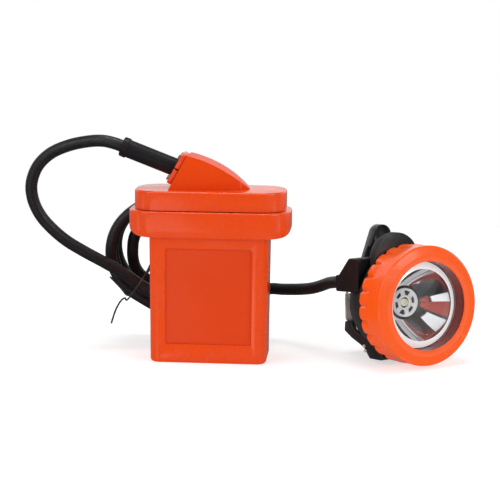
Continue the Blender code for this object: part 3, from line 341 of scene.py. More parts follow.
def add_studio():
    add_world()
    add_floor()
    add_softbox("softbox_left", (-1.1, -1.0, 0.9), (0, 0, 0.06), (0.9, 1.2), 7)
    add_softbox("softbox_right", (1.15, -0.75, 0.75), (0.03, 0, 0.05), (0.7, 0.9), 6)
    add_softbox("softbox_top", (0.0, 0.1, 1.5), (0, 0, 0), (0.8, 0.6), 9, through_lens=True)
    view = bpy.context.scene.view_settings
    view.view_transform = "Standard"
    view.look = "None"


# ---------------- materials

NOISE_MIDDLE = (0.3, 0.7)
# Pointiness at which edges turn paler: rubbed edges, and a painted highlight along them.
EDGE_WEAR_AND_HIGHLIGHT_POINTINESS = (0.53, 0.62)
SOCKETS = {
    "metallic": "Metallic", "specular": "Specular IOR Level", "coat": "Coat Weight",
    "coat_roughness": "Coat Roughness", "transmission": "Transmission Weight", "ior": "IOR",
    "anisotropy": "Anisotropic", "subsurface": "Subsurface Weight", "glow": "Emission Strength",
}


def surface(name, colour, roughness, patches=None, edge_wear_and_highlight=None, polish=None, bumps=(), stretch=(1, 1, 1), **values):
    """A Principled material, made once, with each of these where it is given.

    patches is another colour with its share and scale, edge_wear_and_highlight is the colour of rubbed edges, which is
    also a painted highlight along edges, and its share, polish is the lowest and highest roughness and a scale, and a
    bump is scale, detail, strength and millimetres.
    """
    if name in bpy.data.materials:
        return bpy.data.materials[name]
    material = bpy.data.materials.new(name)
    tree = Tree(material)
    shader = tree.nodes["Principled BSDF"].inputs
    shader["Base Color"].default_value = base = (*colour, 1.0)
    shader["Roughness"].default_value = roughness
    for key, value in {"ior": 1.5, "coat_roughness": 0.05, **values}.items():
        shader[SOCKETS[key]].default_value = value
    if "subsurface" in values:
        shader["Subsurface Radius"].default_value = (1.0, 0.25, 0.08)
        shader["Subsurface Scale"].default_value = 1.5 * MM
    if patches:
        other, share, scale = patches
        base = tree.blend(tree.patchy(scale, 4.0, 0.0, share), base, other)
    # Pointy edges take a paler colour: rubbed edges, and a painted highlight along edges.
    if edge_wear_and_highlight:
        edges = tree.add("NewGeometry").outputs["Pointiness"]
        base = tree.blend(tree.remap(edges, *EDGE_WEAR_AND_HIGHLIGHT_POINTINESS, 0.0, edge_wear_and_highlight[1]), base, edge_wear_and_highlight[0])
    tree.set(shader["Base Color"], base)
    if polish:
        low, high, scale = polish
        tree.set(shader["Roughness"], tree.patchy(scale, 5.0, low, high))
    for scale, detail, strength, depth in bumps:
        height = tree.grain(scale, detail, stretch)
        made = tree.add("Bump", {"Height": height, "Strength": strength, "Distance": depth * MM})
        if shader["Normal"].links:
            tree.set(made.inputs["Normal"], shader["Normal"].links[0].from_socket)
        tree.set(shader["Normal"], made.outputs["Normal"])
    return material


def simple(name, colour, roughness, metallic=0.0, **values):
    """A plain finish with slow colour changes and a fine surface."""
    darker = tuple(part * 0.75 for part in colour)
    polish = (roughness * 0.8, roughness * 1.25, 150)
    bumps = [(900, 3.0, 0.25, 0.04)]
    return surface(name, colour, roughness, (darker, 0.8, 110), None, polish, bumps, metallic=metallic, **values)


def orange_plastic():
    # The paler edge colour is partly a painted highlight along the box's edges.
    return surface(
        "orange_plastic", (0.80, 0.066, 0.004), 0.30, ((0.76, 0.059, 0.003), 0.6, 35), ((0.95, 0.10, 0.012), 0.5),
        (0.20, 0.34, 90), [(900, 2.0, 0.07, 0.04), (110, 2.0, 0.04, 0.10)], specular=0.3, coat=0.45,
        coat_roughness=0.08, subsurface=0.04,
    )


def panel_plastic():
    """The floor of the panel's recess: a finer texture that looks a shade deeper."""
    return surface(
        "panel_plastic", (0.70, 0.053, 0.004), 0.36, ((0.67, 0.049, 0.003), 0.5, 35), None, (0.32, 0.42, 90),
        [(1400, 3.0, 0.12, 0.03)], specular=0.25, subsurface=0.04,
    )


def hood_plastic():
    """The hood has the box's colour and less shine."""
    # The strong paler edge colour is partly a painted highlight along the hood's ridge and edges.
    return surface(
        "hood_plastic", (0.80, 0.064, 0.004), 0.34, ((0.76, 0.057, 0.003), 0.6, 35), ((0.95, 0.13, 0.025), 0.7),
        (0.26, 0.38, 90), [(900, 2.0, 0.07, 0.04)], specular=0.12, subsurface=0.04,
    )


def bezel_plastic():
    """The bezel is a little paler and shinier than the box."""
    return surface(
        "bezel_plastic", (0.93, 0.105, 0.009), 0.26, ((0.90, 0.096, 0.007), 0.6, 35), ((0.98, 0.16, 0.03), 0.5),
        (0.18, 0.30, 90), [(900, 2.0, 0.08, 0.04)], specular=0.45, coat=0.35, coat_roughness=0.07,
    )


def shaded_plastic():
    """The opening's wall: the same plastic, a little glossier and much deeper in colour: painted shade for the shade
    that falls in the opening.
    """
    return surface(
        "opening_painted_shade", (0.20, 0.012, 0.005), 0.22, ((0.13, 0.008, 0.004), 0.7, 60), None, (0.16, 0.28, 150),
        [(700, 2.0, 0.08, 0.03)], specular=0.3,
    )


def cord_rubber():
    return surface(
        "cord_rubber", (0.009, 0.009, 0.011), 0.42, ((0.014, 0.014, 0.016), 0.8, 180), None, (0.36, 0.52, 300),
        [(1500, 4.0, 0.35, 0.06), (260, 2.0, 0.25, 0.15)], specular=0.45,
    )


def moulded_rubber():
    return surface(
        "moulded_rubber", (0.009, 0.009, 0.011), 0.42, ((0.013, 0.013, 0.015), 0.8, 120), None, (0.34, 0.52, 200),
        [(1800, 3.0, 0.25, 0.04)], specular=0.22,
    )


def black_plastic():
    return surface(
        "black_plastic", (0.010, 0.010, 0.011), 0.38, ((0.018, 0.018, 0.019), 0.8, 90), ((0.06, 0.06, 0.062), 0.5),
        (0.30, 0.48, 160), [(2200, 3.0, 0.30, 0.03)],
    )


def lever_plastic():
    return surface(
        "lever_plastic", (0.013, 0.013, 0.014), 0.26, ((0.022, 0.022, 0.024), 0.8, 90), ((0.08, 0.08, 0.082), 0.5),
        (0.20, 0.34, 160), [(1500, 2.0, 0.12, 0.03)], specular=0.6, coat=0.2, coat_roughness=0.15,
    )


def brushed_steel(name="brushed_steel", colour=(0.60, 0.59, 0.575), stretch=(40, 900, 900), metallic=1.0):
    darker = tuple(part * 0.8 for part in colour)
    return surface(
        name, colour, 0.3, (darker, 0.8, 70), None, (0.24, 0.40, 120), [(1.0, 3.0, 0.20, 0.02)], stretch,
        metallic=metallic, anisotropy=0.5,
    )


def black_coat():
    return surface(
        "black_powder_coat", (0.018, 0.018, 0.018), 0.45, None, ((0.30, 0.29, 0.28), 0.8), (0.38, 0.56, 160),
        [(1100, 3.0, 0.45, 0.05)],
    )


def mirror():
    return surface(
        "metallised_mirror", (0.93, 0.93, 0.94), 0.035, ((0.88, 0.88, 0.90), 0.6, 50), None, (0.02, 0.06, 90),
        [(90, 1.0, 0.05, 0.05)], metallic=1.0,
    )


def lens_glass():
    return surface(
        "lens_glass", (0.98, 0.99, 1.0), 0.0, None, None, (0.0, 0.012, 40), [(60, 1.0, 0.02, 0.02)],
        transmission=1.0, ior=1.46,
    )


def lens_edge_painted_glow():
    """The lens's sloped edge: silvery, with a painted glow that stands for light which comes in at its face and leaves
    here.
    """
    return surface(
        "lens_edge_painted_glow", (0.97, 0.97, 0.97), 0.16, None, None, (0.10, 0.22, 200), [(400, 2.0, 0.1, 0.02)],
        metallic=0.3, glow=0.42,
    )


def led_phosphor():
    material = surface(
        "led_phosphor", (0.92, 0.90, 0.66), 0.18, ((0.96, 0.93, 0.74), 0.9, 600), None, None,
        [(3000, 2.0, 0.1, 0.02)], coat=1.0, coat_roughness=0.03, glow=0.35,
    )
    material.node_tree.nodes["Principled BSDF"].inputs["Emission Color"].default_value = (0.95, 0.92, 0.70, 1)
    return material


def nickel():
    return simple("satin_nickel", (0.92, 0.90, 0.86), 0.42, metallic=0.55)


def holder_silver_painted_glow():
    # Painted glow: the holder gives off a little light, though it is no lamp, to look bright inside the reflector.
    return simple("holder_silver_painted_glow", (0.90, 0.90, 0.90), 0.26, metallic=0.25, glow=0.34)


# ---------------- shape tools

def mesh_object(name, editor, material=None, matrix=None):
    mesh = bpy.data.meshes.new(name)
    editor.to_mesh(mesh)
    editor.free()
    if material is not None:
        mesh.materials.append(material)
    return added(name, mesh, matrix)


def shade(mesh, sharp):
    """Shades a mesh smooth, but for edges that turn by more than an angle in degrees."""
    mesh.shade_smooth()
    mesh.set_sharp_from_angle(angle=math.radians(sharp))


def link_mesh(name, editor, material=None, matrix=None, sharp=35):
    bmesh.ops.recalc_face_normals(editor, faces=editor.faces)
    if editor.calc_volume(signed=True) < 0:
        bmesh.ops.reverse_faces(editor, faces=editor.faces)
    obj = mesh_object(name, editor, material, matrix)
    shade(obj.data, sharp)
    return obj


def piece(obj, nodes, body=BODY):
    """Makes an object one of the lamp's pieces, in place of some CAD nodes."""
    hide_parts(*nodes)
    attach(obj, body)


def modify(obj, kind, **settings):
    made = obj.modifiers.new(kind.lower(), kind)
    for name, value in settings.items():
        setattr(made, name, value)


def applied(obj, sharp=35):
    """Turns an object's modifiers into its mesh."""
    bpy.context.view_layer.update()
    graph = bpy.context.evaluated_depsgraph_get()
    mesh = bpy.data.meshes.new_from_object(obj.evaluated_get(graph))
    obj.modifiers.clear()
    obj.data = mesh
    shade(mesh, sharp)


def combine(obj, others, operation):
    """Cuts other objects from this one, or joins them to it, and removes them."""
    for other in others:
        modify(obj, "BOOLEAN", operation=operation, solver="EXACT", object=other)
    applied(obj)
    for other in others:
        bpy.data.objects.remove(other)


def cut(obj, *others):
    combine(obj, others, "DIFFERENCE")


def join(obj, *others):
    combine(obj, others, "UNION")


def soften(obj, width, segments, angle):
    """Rounds the edges with a bevel whose shading follows the flat faces."""
    modify(
        obj, "BEVEL", width=width, segments=segments, limit_method="ANGLE", angle_limit=math.radians(angle),
        use_clamp_overlap=True, harden_normals=True,
    )
    applied(obj, 50)


def second_finish(obj, material, chosen):
    """Gives the faces whose middle passes a test another material."""
    obj.data.materials.append(material)
    for face in obj.data.polygons:
        if chosen(face.center):
            face.material_index = 1


def arc(centre_x, centre_y, radius, start, end, steps):
    """Points on an arc, from one angle in degrees to another."""
    found = []
    for step in range(steps + 1):
        angle = math.radians(start + (end - start) * step / steps)
        found.append((centre_x + radius * math.cos(angle), centre_y + radius * math.sin(angle)))
    return found


def filleted(points, closed=True, steps=5):
    """A line through (x, y, fillet radius) points, with each corner rounded to its radius."""
    found = []
    count = len(points)
    for index, (x, y, radius) in enumerate(points):
        corner = Vector((x, y))
        if radius <= 0 or (not closed and index in (0, count - 1)):
            found.append((x, y))
            continue
        before = Vector(points[index - 1][:2]) - corner
        after = Vector(points[(index + 1) % count][:2]) - corner
        half = before.angle(after) / 2
        reach = min(radius / math.tan(half), before.length * 0.49, after.length * 0.49)
        true_radius = reach * math.tan(half)
        start, end = corner + before.normalized() * reach, corner + after.normalized() * reach
        middle = corner + (before.normalized() + after.normalized()).normalized() * (true_radius / math.sin(half))
        first, last = start - middle, end - middle
        sweep = first.angle_signed(last)
        for step in range(steps + 1):
            turn = Matrix.Rotation(-sweep * step / steps, 2)
            found.append(tuple(middle + turn @ first))
    return found


def mm_line(points, closed=True, steps=5):
    """A filleted line whose points and radii are given in millimetres."""
    return filleted([(x * MM, y * MM, radius * MM) for x, y, radius in points], closed, steps)


def lathe(name, profile, material=None, matrix=None, steps=96, shape=None, sharp=35):
    """A profile of (radius, height) points turned about Z; shape may change each radius by its angle."""
    editor = bmesh.new()
    rings = []
    for radius, height in profile:
        if radius < 1e-7:
            rings.append([editor.verts.new((0, 0, height))])
            continue
        ring = []
        for step in range(steps):
            angle = math.tau * step / steps
            own = shape(radius, height, angle) if shape else radius
            ring.append(editor.verts.new((own * math.cos(angle), own * math.sin(angle), height)))
        rings.append(ring)
    pairs = list(zip(rings, rings[1:]))
    if len(rings[0]) > 1 and len(rings[-1]) > 1:
        pairs.append((rings[-1], rings[0]))
    for first, second in pairs:
        for step in range(steps):
            following = (step + 1) % steps
            corners = [
                first[step % len(first)], second[step % len(second)],
                second[following % len(second)], first[following % len(first)],
            ]
            corners = list(dict.fromkeys(corners))
            if len(corners) > 2:
                editor.faces.new(corners)
    return link_mesh(name, editor, material, matrix, sharp)


def skin(name, rings, material, matrix):
    """Faces between rings of points in order, with a flat face at either end."""
    editor = bmesh.new()
    rings = [[editor.verts.new(point) for point in ring] for ring in rings]
    for lower, upper in zip(rings, rings[1:]):
        for index in range(len(lower)):
            following = (index + 1) % len(lower)
            editor.faces.new((lower[index], lower[following], upper[following], upper[index]))
    editor.faces.new(rings[0])
    editor.faces.new(rings[-1])
    return link_mesh(name, editor, material, matrix)


def prism(name, outline, low, high, material=None, matrix=None):
    """A flat outline extruded along local Z."""
    return skin(name, [[(x, y, z) for x, y in outline] for z in (low, high)], material, matrix)


def rounded_rectangle(half_x, half_y, radius, steps=10):
    found = []
    for sign_x, sign_y, start in ((1, 1, 0), (-1, 1, 90), (-1, -1, 180), (1, -1, 270)):
        found += arc(sign_x * (half_x - radius), sign_y * (half_y - radius), radius, start, start + 90, steps)
    return found


def loft(name, sections, material=None, steps=10, matrix=None):
    """Rounded rectangles joined in order: height, half width, half depth and corner radius of each."""
    rings = [[(x, y, height) for x, y in rounded_rectangle(*form, steps)] for height, *form in sections]
    return skin(name, rings, material, matrix)


def rod(name, start, end, radius, matrix=None, sides=32):
    """A round bar to cut with."""
    start, end = Vector(start), Vector(end)
    editor = bmesh.new()
    bmesh.ops.create_cone(
        editor, cap_ends=True, segments=sides, radius1=radius, radius2=radius, depth=(end - start).length,
    )
    editor.transform(Matrix.Translation((start + end) / 2) @ aimed(end - start))
    return link_mesh(name, editor, None, matrix)


def in_mm(points):
    return [Vector(point) * MM for point in points]


def evenly(points, spacing):
    """The same line with its points an even distance apart."""
    lengths = [0.0]
    for first, second in zip(points, points[1:]):
        lengths.append(lengths[-1] + (second - first).length)
    count = max(2, round(lengths[-1] / spacing))
    found = []
    index = 0
    for step in range(count + 1):
        wanted = lengths[-1] * step / count
        while index < len(points) - 2 and lengths[index + 1] < wanted:
            index += 1
        span = lengths[index + 1] - lengths[index]
        share = (wanted - lengths[index]) / span if span else 0.0
        found.append(points[index].lerp(points[index + 1], min(max(share, 0.0), 1.0)))
    return found


def smooth_route(points, spacing):
    """Points a spacing apart on a smooth curve through the given ones."""
    points = [Vector(point) for point in points]
    ends = [points[0] * 2 - points[1], *points, points[-1] * 2 - points[-2]]
    fine = []
    for before, start, end, after in zip(ends, ends[1:], ends[2:], ends[3:]):
        for step in range(24):
            t = step / 24
            fine.append(
                0.5 * (2 * start + (end - before) * t + (2 * before - 5 * start + 4 * end - after) * t * t
                       + (3 * start - before - 3 * end + after) * t * t * t)
            )
    fine.append(points[-1])
    return evenly(fine, spacing)


def tube(name, points, radius, material, sides):
    """A curve with a round bevel."""
    curve = bpy.data.curves.new(name, "CURVE")
    curve.dimensions = "3D"
    curve.bevel_depth = radius
    curve.bevel_resolution = sides
    curve.use_fill_caps = True
    spline = curve.splines.new("POLY")
    spline.points.add(len(points) - 1)
    for point, place in zip(spline.points, points):
        point.co = (*place, 1.0)
    spline.use_smooth = True
    curve.materials.append(material)
    return added(name, curve)


# ---------------- cord

def smooth_step(value):
    return value * value * (3 - 2 * value)


def read_layers(turns):
    """How far inside the outer line, and how far back, the cord runs after so many turns."""
    for (start, inside, back), (end, next_inside, next_back) in zip(HANK_LAYERS, HANK_LAYERS[1:]):
        if turns <= end:
            share = smooth_step(min(max((turns - start) / (end - start), 0.0), 1.0))
            return (inside + (next_inside - inside) * share) * MM, (back + (next_back - back) * share) * MM
    return HANK_LAYERS[-1][1] * MM, HANK_LAYERS[-1][2] * MM


def on_circle(circle, angle):
    """A point on an upright circle, and the direction out of it there."""
    x, z, radius = circle
    out = Vector((math.cos(angle), math.sin(angle)))
    return Vector((x, z)) + out * radius, out


def hank_line(share):
    """A point on the outer turn and its inward direction, from the tie and anticlockwise seen from the front."""
    (left_x, left_z, left_radius), (right_x, right_z, right_radius) = HANK_LEFT, HANK_RIGHT
    along = math.atan2(right_z - left_z, right_x - left_x)
    distance = math.hypot(right_x - left_x, right_z - left_z)
    lean = math.asin((left_radius - right_radius) / distance)
    straight = distance * math.cos(lean)
    lower, upper = along - math.pi / 2 + lean, along + math.pi / 2 - lean
    right_arc = (upper - lower) * right_radius
    left_arc = (math.tau - (upper - lower)) * left_radius
    gone = share * (2 * straight + right_arc + left_arc)
    angle, circle, following = lower, HANK_LEFT, HANK_RIGHT
    if gone >= straight + right_arc:
        gone -= straight + right_arc
        angle, circle, following = upper, HANK_RIGHT, HANK_LEFT
    if gone < straight:
        start, out = on_circle(circle, angle)
        return start.lerp(on_circle(following, angle)[0], gone / straight), -out
    place, out = on_circle(following, angle + (gone - straight) / following[2])
    return place, -out


def hank_turns():
    found = []
    last = HANK_LAYERS[-1][0]
    steps = 40 * round(last)
    for step in range(steps + 1):
        turns = last * step / steps
        place, inwards = hank_line(turns % 1.0)
        inside, back = read_layers(turns)
        place = place + inwards * inside
        found.append(Vector((place.x, back, place.y)))
    return found


def cord():
    boot_end = [HEAD @ Vector((*BOOT_AXIS, -BOOT_BACK - gap * MM)) for gap in (5.0, 0.0)]
    sleeve_start = [SLEEVE_START + SLEEVE_ALONG * distance * MM for distance in (-8, 6, 20)]
    route = [*sleeve_start, SLEEVE_END, *in_mm(LOOP_ROUTE), *hank_turns(), *in_mm(LAMP_ROUTE), *boot_end]
    points = smooth_route(route, 2.4 * MM)
    obj = tube("cord", points, CORD_RADIUS, cord_rubber(), 7)
    piece(obj, ["cord_battery_side", "cord_hank", "cord_lamp_side"])
    tie = wire_tie()


def wire_tie():
    points = smooth_route(in_mm(TIE_ROUTE), 1.2 * MM)
    obj = tube("tie", points, TIE_RADIUS, lever_plastic(), 3)
    piece(obj, ["wire_tie"])
    return obj


# ---------------- battery box

def rounded_top(top, radius, half_x, half_y, corner):
    """Sections that round a rim off up to its top."""
    sections = []
    for step in range(7):
        angle = math.radians(90 * step / 6)
        inset = radius * (1 - math.cos(angle))
        sections.append((top - radius * (1 - math.sin(angle)), half_x - inset, half_y - inset, corner - inset))
    return sections


def case_sections():
    """The outer form, with its foot, its draft, the swept underside of the collar and the collar's edge."""
    half_x, half_y = CASE_HALF
    foot = rounded_top(0, 2.0 * MM, half_x - CASE_DRAFT, half_y - CASE_DRAFT, CASE_CORNER)
    sections = [(-height, *form) for height, *form in reversed(foot)]
    for below, out, rounder in ((0.5, 0, 0), (0.15, 0.12, 0), (0, 0.5, 0.2)):
        height = COLLAR_BOTTOM - below * MM
        sections.append((height, half_x + out * MM, half_y + out * MM, CASE_CORNER + rounder * MM))
    wide, deep = COLLAR_HALF
    for step in range(13):
        angle = math.radians(6 + 84 * step / 12)
        sideways = COLLAR_SWEEP * (1 - math.sin(angle))
        lift = COLLAR_SWEEP * (1 - math.cos(angle))
        inwards = 1.2 * MM * (1 - math.sin(angle))
        sections.append((COLLAR_BOTTOM + lift, wide - sideways, deep - inwards, COLLAR_CORNER - sideways * 0.8))
    return sections + rounded_top(COLLAR_TOP, 1.1 * MM, wide, deep, COLLAR_CORNER)


def battery_case():
    case = loft("battery_case_body", case_sections(), orange_plastic(), 12)
    left, right, bottom, top = PANEL
    front = -CASE_HALF[1] + CASE_DRAFT / 2
    draft = math.degrees(math.atan(CASE_DRAFT / COLLAR_BOTTOM))
    upright = moved((left + right) / 2, front, (bottom + top) / 2) @ turned(90 + draft, "X")
    half_x, half_z = (right - left) / 2, (top - bottom) / 2
    recess = loft("recess", [
        (-PANEL_DEPTH, half_x - 0.35 * MM, half_z - 0.35 * MM, 1.0 * MM),
        (0.0, half_x, half_z, 1.3 * MM), (0.5 * MM, half_x + 0.35 * MM, half_z + 0.35 * MM, 1.5 * MM),
    ], None, 4, upright)
    mouth = loft("mouth", [
        (COLLAR_TOP - 14 * MM, 33.8 * MM, 16.4 * MM, 4 * MM), (COLLAR_TOP + 5 * MM, 34 * MM, 16.6 * MM, 4 * MM),
    ], None, 6)
    cut(case, recess, mouth)
    cut(case, *[rod("bore", (x, y, 70 * MM), (x, y, 83.4 * MM), 3.3 * MM) for x, y in screw_places()])
    soften(case, 0.22 * MM, 2, 28)

    def is_panel(place):
        recessed = -CASE_HALF[1] + 0.5 * MM < place.y < -17 * MM
        return recessed and left < place.x < right and bottom < place.z < top

    second_finish(case, panel_plastic(), is_panel)
    piece(case, ["battery_case"])


def screw_places():
    x, y = LID_SCREW_AT
    return [(side * x, end * y) for side in (-1, 1) for end in (-1, 1)]


def hood_plan():
    nose = []
    for step in range(41):
        angle = math.radians(-90 + 180 * step / 40)
        nose.append((HOOD_SHOULDER_X + HOOD_NOSE * math.cos(angle), HOOD_HALF_WIDTH * math.sin(angle)))
    return nose + [(-40 * MM, HOOD_HALF_WIDTH), (-40 * MM, -HOOD_HALF_WIDTH)]


def hood_side():
    centre_x, centre_z, radius = HOOD_ARC
    top_x = HOOD_FOOT_X + (HOOD_TIP_Z - LID_TOP) / math.tan(HOOD_SLANT)
    start = math.degrees(math.acos((top_x + 1.2 * MM - centre_x) / radius))
    ridge = arc(centre_x, centre_z, radius, start, 42, 40)
    foot = LID_TOP - 5 * MM
    foot_x = HOOD_FOOT_X - (LID_TOP - foot) / math.tan(HOOD_SLANT)
    return [(foot_x, foot), (top_x, HOOD_TIP_Z), *ridge, (30 * MM, LID_TOP - 1 * MM), (30 * MM, foot)]


def battery_lid():
    sections = [(LID_BOTTOM, *LID_HALF, LID_CORNER), *rounded_top(LID_TOP, 1.3 * MM, *LID_HALF, LID_CORNER)]
    lid = loft("battery_lid_body", sections, orange_plastic(), 14)
    hood = prism("hood", hood_side(), -16 * MM, 16 * MM, orange_plastic(), turned(90, "X"))
    combine(hood, [prism("plan", hood_plan(), 90 * MM, 140 * MM)], "INTERSECT")
    soften(hood, 1.0 * MM, 5, 28)
    join(lid, hood)
    start, end = (SLEEVE_START + SLEEVE_ALONG * distance * MM for distance in (-11, 9))
    cut(lid, rod("pocket", start, end, 7.4 * MM, sides=48))
    second_finish(lid, hood_plastic(), lambda place: place.z > LID_TOP + 0.3 * MM)
    piece(lid, ["battery_lid"])


def gland_axes():
    """Axes of the clamp: x across the hood, y up its slanted end and z out of it."""
    out = Vector((-math.sin(HOOD_SLANT), 0, math.cos(HOOD_SLANT)))
    up = Vector((math.cos(HOOD_SLANT), 0, math.sin(HOOD_SLANT)))
    matrix = Matrix((up.cross(out), up, out)).transposed().to_4x4()
    matrix.translation = Vector((HOOD_FOOT_X, 0, LID_TOP)) + up * (GLAND[1] / 2 + 3.0 * MM)
    return matrix


def gland_clamp():
    axes = gland_axes()
    half_x, half_y, thickness = GLAND[0] / 2, GLAND[1] / 2, GLAND[2]
    start, end = (SLEEVE_START + SLEEVE_ALONG * distance * MM for distance in (-20, 20))
    for name, low, high in (("gland_clamp_lower", -half_y, -0.45 * MM), ("gland_clamp_upper", 0.45 * MM, half_y)):
        corners = [(-half_x, low), (half_x, low), (half_x, high), (-half_x, high)]
        outline = filleted([(x, y, (2.2 if abs(y) == half_y else 0.5) * MM) for x, y in corners])
        half = prism(f"{name}_body", outline, 0.3 * MM, 0.3 * MM + thickness, orange_plastic(), axes)
        cut(half, rod("bore", start, end, SLEEVE_RADIUS + 0.3 * MM))
        soften(half, 0.5 * MM, 3, 30)
        piece(half, [name])
    x, y = GLAND_SCREWS
    for index, place in enumerate(((-x, -y), (x, -y), (-x, y), (x, y)), 1):
        screw(f"gland_screw_{index}", axes @ moved(*place, thickness + 0.6 * MM), 1.7, 0.85, 8.0)


def screw(name, seat, head, shank, length):
    """A domed screw with a hexagon socket, in millimetres: seat is under its head, with +z out of the work."""
    thickness = head * 0.62
    profile = mm_line([
        (0, thickness, 0), (head * 0.74, thickness, head * 0.1), (head, thickness * 0.45, head * 0.15),
        (head, 0, head * 0.05), (shank, 0, 0), (shank, -length + shank * 0.5, 0), (shank * 0.5, -length, 0),
        (0, -length, 0),
    ], False, 3)
    obj = lathe(f"{name}_body", profile, brushed_steel(), seat, 40)
    start, end = ((0, 0, thickness * share * MM) for share in (0.4, 2))
    cut(obj, rod("socket", start, end, head * 0.42 * MM, seat, 6))
    piece(obj, [name])
    return obj


def lid_screws():
    for index, place in enumerate(screw_places(), 1):
        screw(f"lid_screw_{index}", moved(*place, LID_SCREW_SEAT) @ turned(180, "X"), 2.9, 1.45, 18.6)


def sleeve():
    """The moulded strain relief: a smooth barrel with a collar at its mouth."""
    length = (SLEEVE_END - SLEEVE_START).length / MM
    bore = CORD_RADIUS / MM + 0.15
    barrel = SLEEVE_RADIUS / MM
    profile = mm_line([
        (bore, length, 0.5), (6.15, length, 0.9), (6.25, length - 3.9, 0.6), (barrel, length - 4.5, 0.5),
        (barrel, -3.8, 0), (6.9, -3.8, 0.4), (6.9, -9, 0.4), (bore, -9, 0),
    ])
    matrix = Matrix.Translation(SLEEVE_START) @ aimed(SLEEVE_ALONG)
    piece(lathe("sleeve_body", profile, moulded_rubber(), matrix, 72), ["strain_relief_sleeve"])


def strip(name, line, half_width, thickness, round_ends, material, matrix=None):
    """A sheet-metal strip bent along a line of (y, z) points, with round corners and its edges broken."""
    editor = bmesh.new()
    rows = [[editor.verts.new((x, *point)) for x in (-half_width, half_width)] for point in line]
    for first, second in zip(rows, rows[1:]):
        editor.faces.new((first[0], first[1], second[1], second[0]))
    obj = mesh_object(name, editor, material, matrix)
    modify(obj, "SOLIDIFY", thickness=thickness, offset=0, use_even_offset=True)
    applied(obj)
    editor = bmesh.new()
    editor.from_mesh(obj.data)
    corners = [edge for edge in editor.edges if is_end_corner(edge, line, half_width)]
    bmesh.ops.bevel(editor, geom=corners, offset=round_ends, segments=6, affect="EDGES", profile=0.5)
    editor.to_mesh(obj.data)
    editor.free()
    soften(obj, thickness * 0.22, 2, 40)
    return obj


def is_end_corner(edge, line, half_width):
    """Whether an edge is one of the four short ones at the strip's free corners."""
    first, second = (vertex.co for vertex in edge.verts)
    if abs(abs(first.x) - half_width) > 1e-5 or abs(first.x - second.x) > 1e-6:
        return False
    return any(((first + second).yz / 2 - Vector(end)).length < 1e-4 for end in (line[0], line[-1]))


def belt_loop():
    back = CASE_HALF[1] / MM + 0.3 + 0.75
    corners = [(back, 17, 0), (back, 26.5, 2.2), (25.9, 30, 2.2), (25.9, 58, 2.2), (back, 61.5, 2.2), (back, 71, 0)]
    strap = strip("belt_strap", mm_line(corners, False), 20 * MM, 1.5 * MM, 2.5 * MM, black_coat())
    piece(strap, ["belt_loop"])
    for index, height in enumerate(BELT_SCREW_HEIGHTS, 1):
        screw(f"belt_screw_{index}", moved(0, (back + 1.05) * MM, height) @ turned(-90, "X"), 2.6, 1.15, 4.4)


# ---------------- headpiece

def scallop(radius, height, angle):
    """Draws the ring's rear rim into broad lobes with a narrow valley between them."""
    start, end = SCALLOP_RUN
    if radius < BEZEL_RADIUS - 0.6 * MM or height > start:
        return radius
    share = smooth_step(min(1.0, (start - height) / (start - end)))
    lobe = abs(math.sin((angle - SCALLOP_PHASE) * SCALLOPS / 2))
    return radius + share * (0.25 * MM * lobe - 1.5 * MM * (1 - lobe) ** 2.4)


def bezel_ring():
    profile = mm_line([
        (27.2, -9.2, 0.2), (27.2, 0.0, 0.5), (30.8, 0.0, 1.0), (35.6, -0.75, 0.8), (36.8, -1.7, 0.9), (36.5, -8.0, 0),
        (36.5, -13.0, 0), (36.5, -14.5, 0), (36.6, -15.6, 0), (36.65, -16.4, 0), (36.65, -18.5, 0),
        (36.65, -21.8, 0.9), (33.2, -21.8, 0.3), (33.2, -12.9, 0), (31.4, -12.9, 0), (31.4, -9.2, 0),
    ], steps=8)
    ring = lathe("bezel_body", profile, bezel_plastic(), HEAD, 480, scallop, 40)
    # The opening's wall takes the painted shade, a much deeper colour.
    second_finish(ring, shaded_plastic(), lambda place: place.xy.length < 27.3 * MM and place.z < -0.6 * MM)
    piece(ring, ["bezel_ring"], "bezel")


def lens_pack():
    """A clear lens whose middle stands forward of its flange, with a sloped and satin edge between them."""
    profile = mm_line([
        (0, -7.0, 0), (22.1, -7.0, 0.2), (26.4, -9.3, 0.3), (26.6, -10.6, 0.2), (31, -10.6, 0.3), (31, -12.8, 0.4),
        (0, -12.8, 0),
    ], False)
    lens = lathe("lens_disc", profile, lens_glass(), HEAD, 128)

    def is_slope(place):
        return 22.2 * MM < place.xy.length < 26.8 * MM and -10.4 * MM < place.z < -7.0 * MM

    # The sloped edge gets the painted glow.
    second_finish(lens, lens_edge_painted_glow(), is_slope)
    piece(lens, ["lens"], "lens_pack")
    profile = mm_line([(27.6, -9.5, 0.2), (31, -9.5, 0.2), (31, -10.3, 0.2), (27.6, -10.3, 0.2)])
    gasket = lathe("front_gasket_ring", profile, simple("clear_silicone", (0.62, 0.62, 0.60), 0.4), HEAD)
    piece(gasket, ["front_gasket"], "lens_pack")


def reflector():
    """A deep parabola with a rolled bright rim and a short straight neck."""
    front, neck, vertex = 13.6 * MM, 26.6 * MM, 29.2 * MM
    inner = []
    for step in range(41):
        depth = front + (neck - front) * step / 40
        inner.append((math.sqrt(40.9 * MM * (vertex - depth)), -depth))
    wall = 0.8 * MM
    outer = [(radius + wall, height - wall * 0.3) for radius, height in inner[2:]]
    rim = filleted([
        (*inner[1], 0), (inner[0][0] + 0.3 * MM, -13.2 * MM, 0.5 * MM), mm(30.2, -13.2, 0.3),
        mm(30.2, -14.5, 0.3), (outer[0][0] + 0.4 * MM, -14.5 * MM, 0),
    ], closed=False)
    cup = lathe("reflector_cup", [*rim, *outer, *reversed(inner[2:])], mirror(), HEAD, 144, sharp=60)
    piece(cup, ["reflector"])


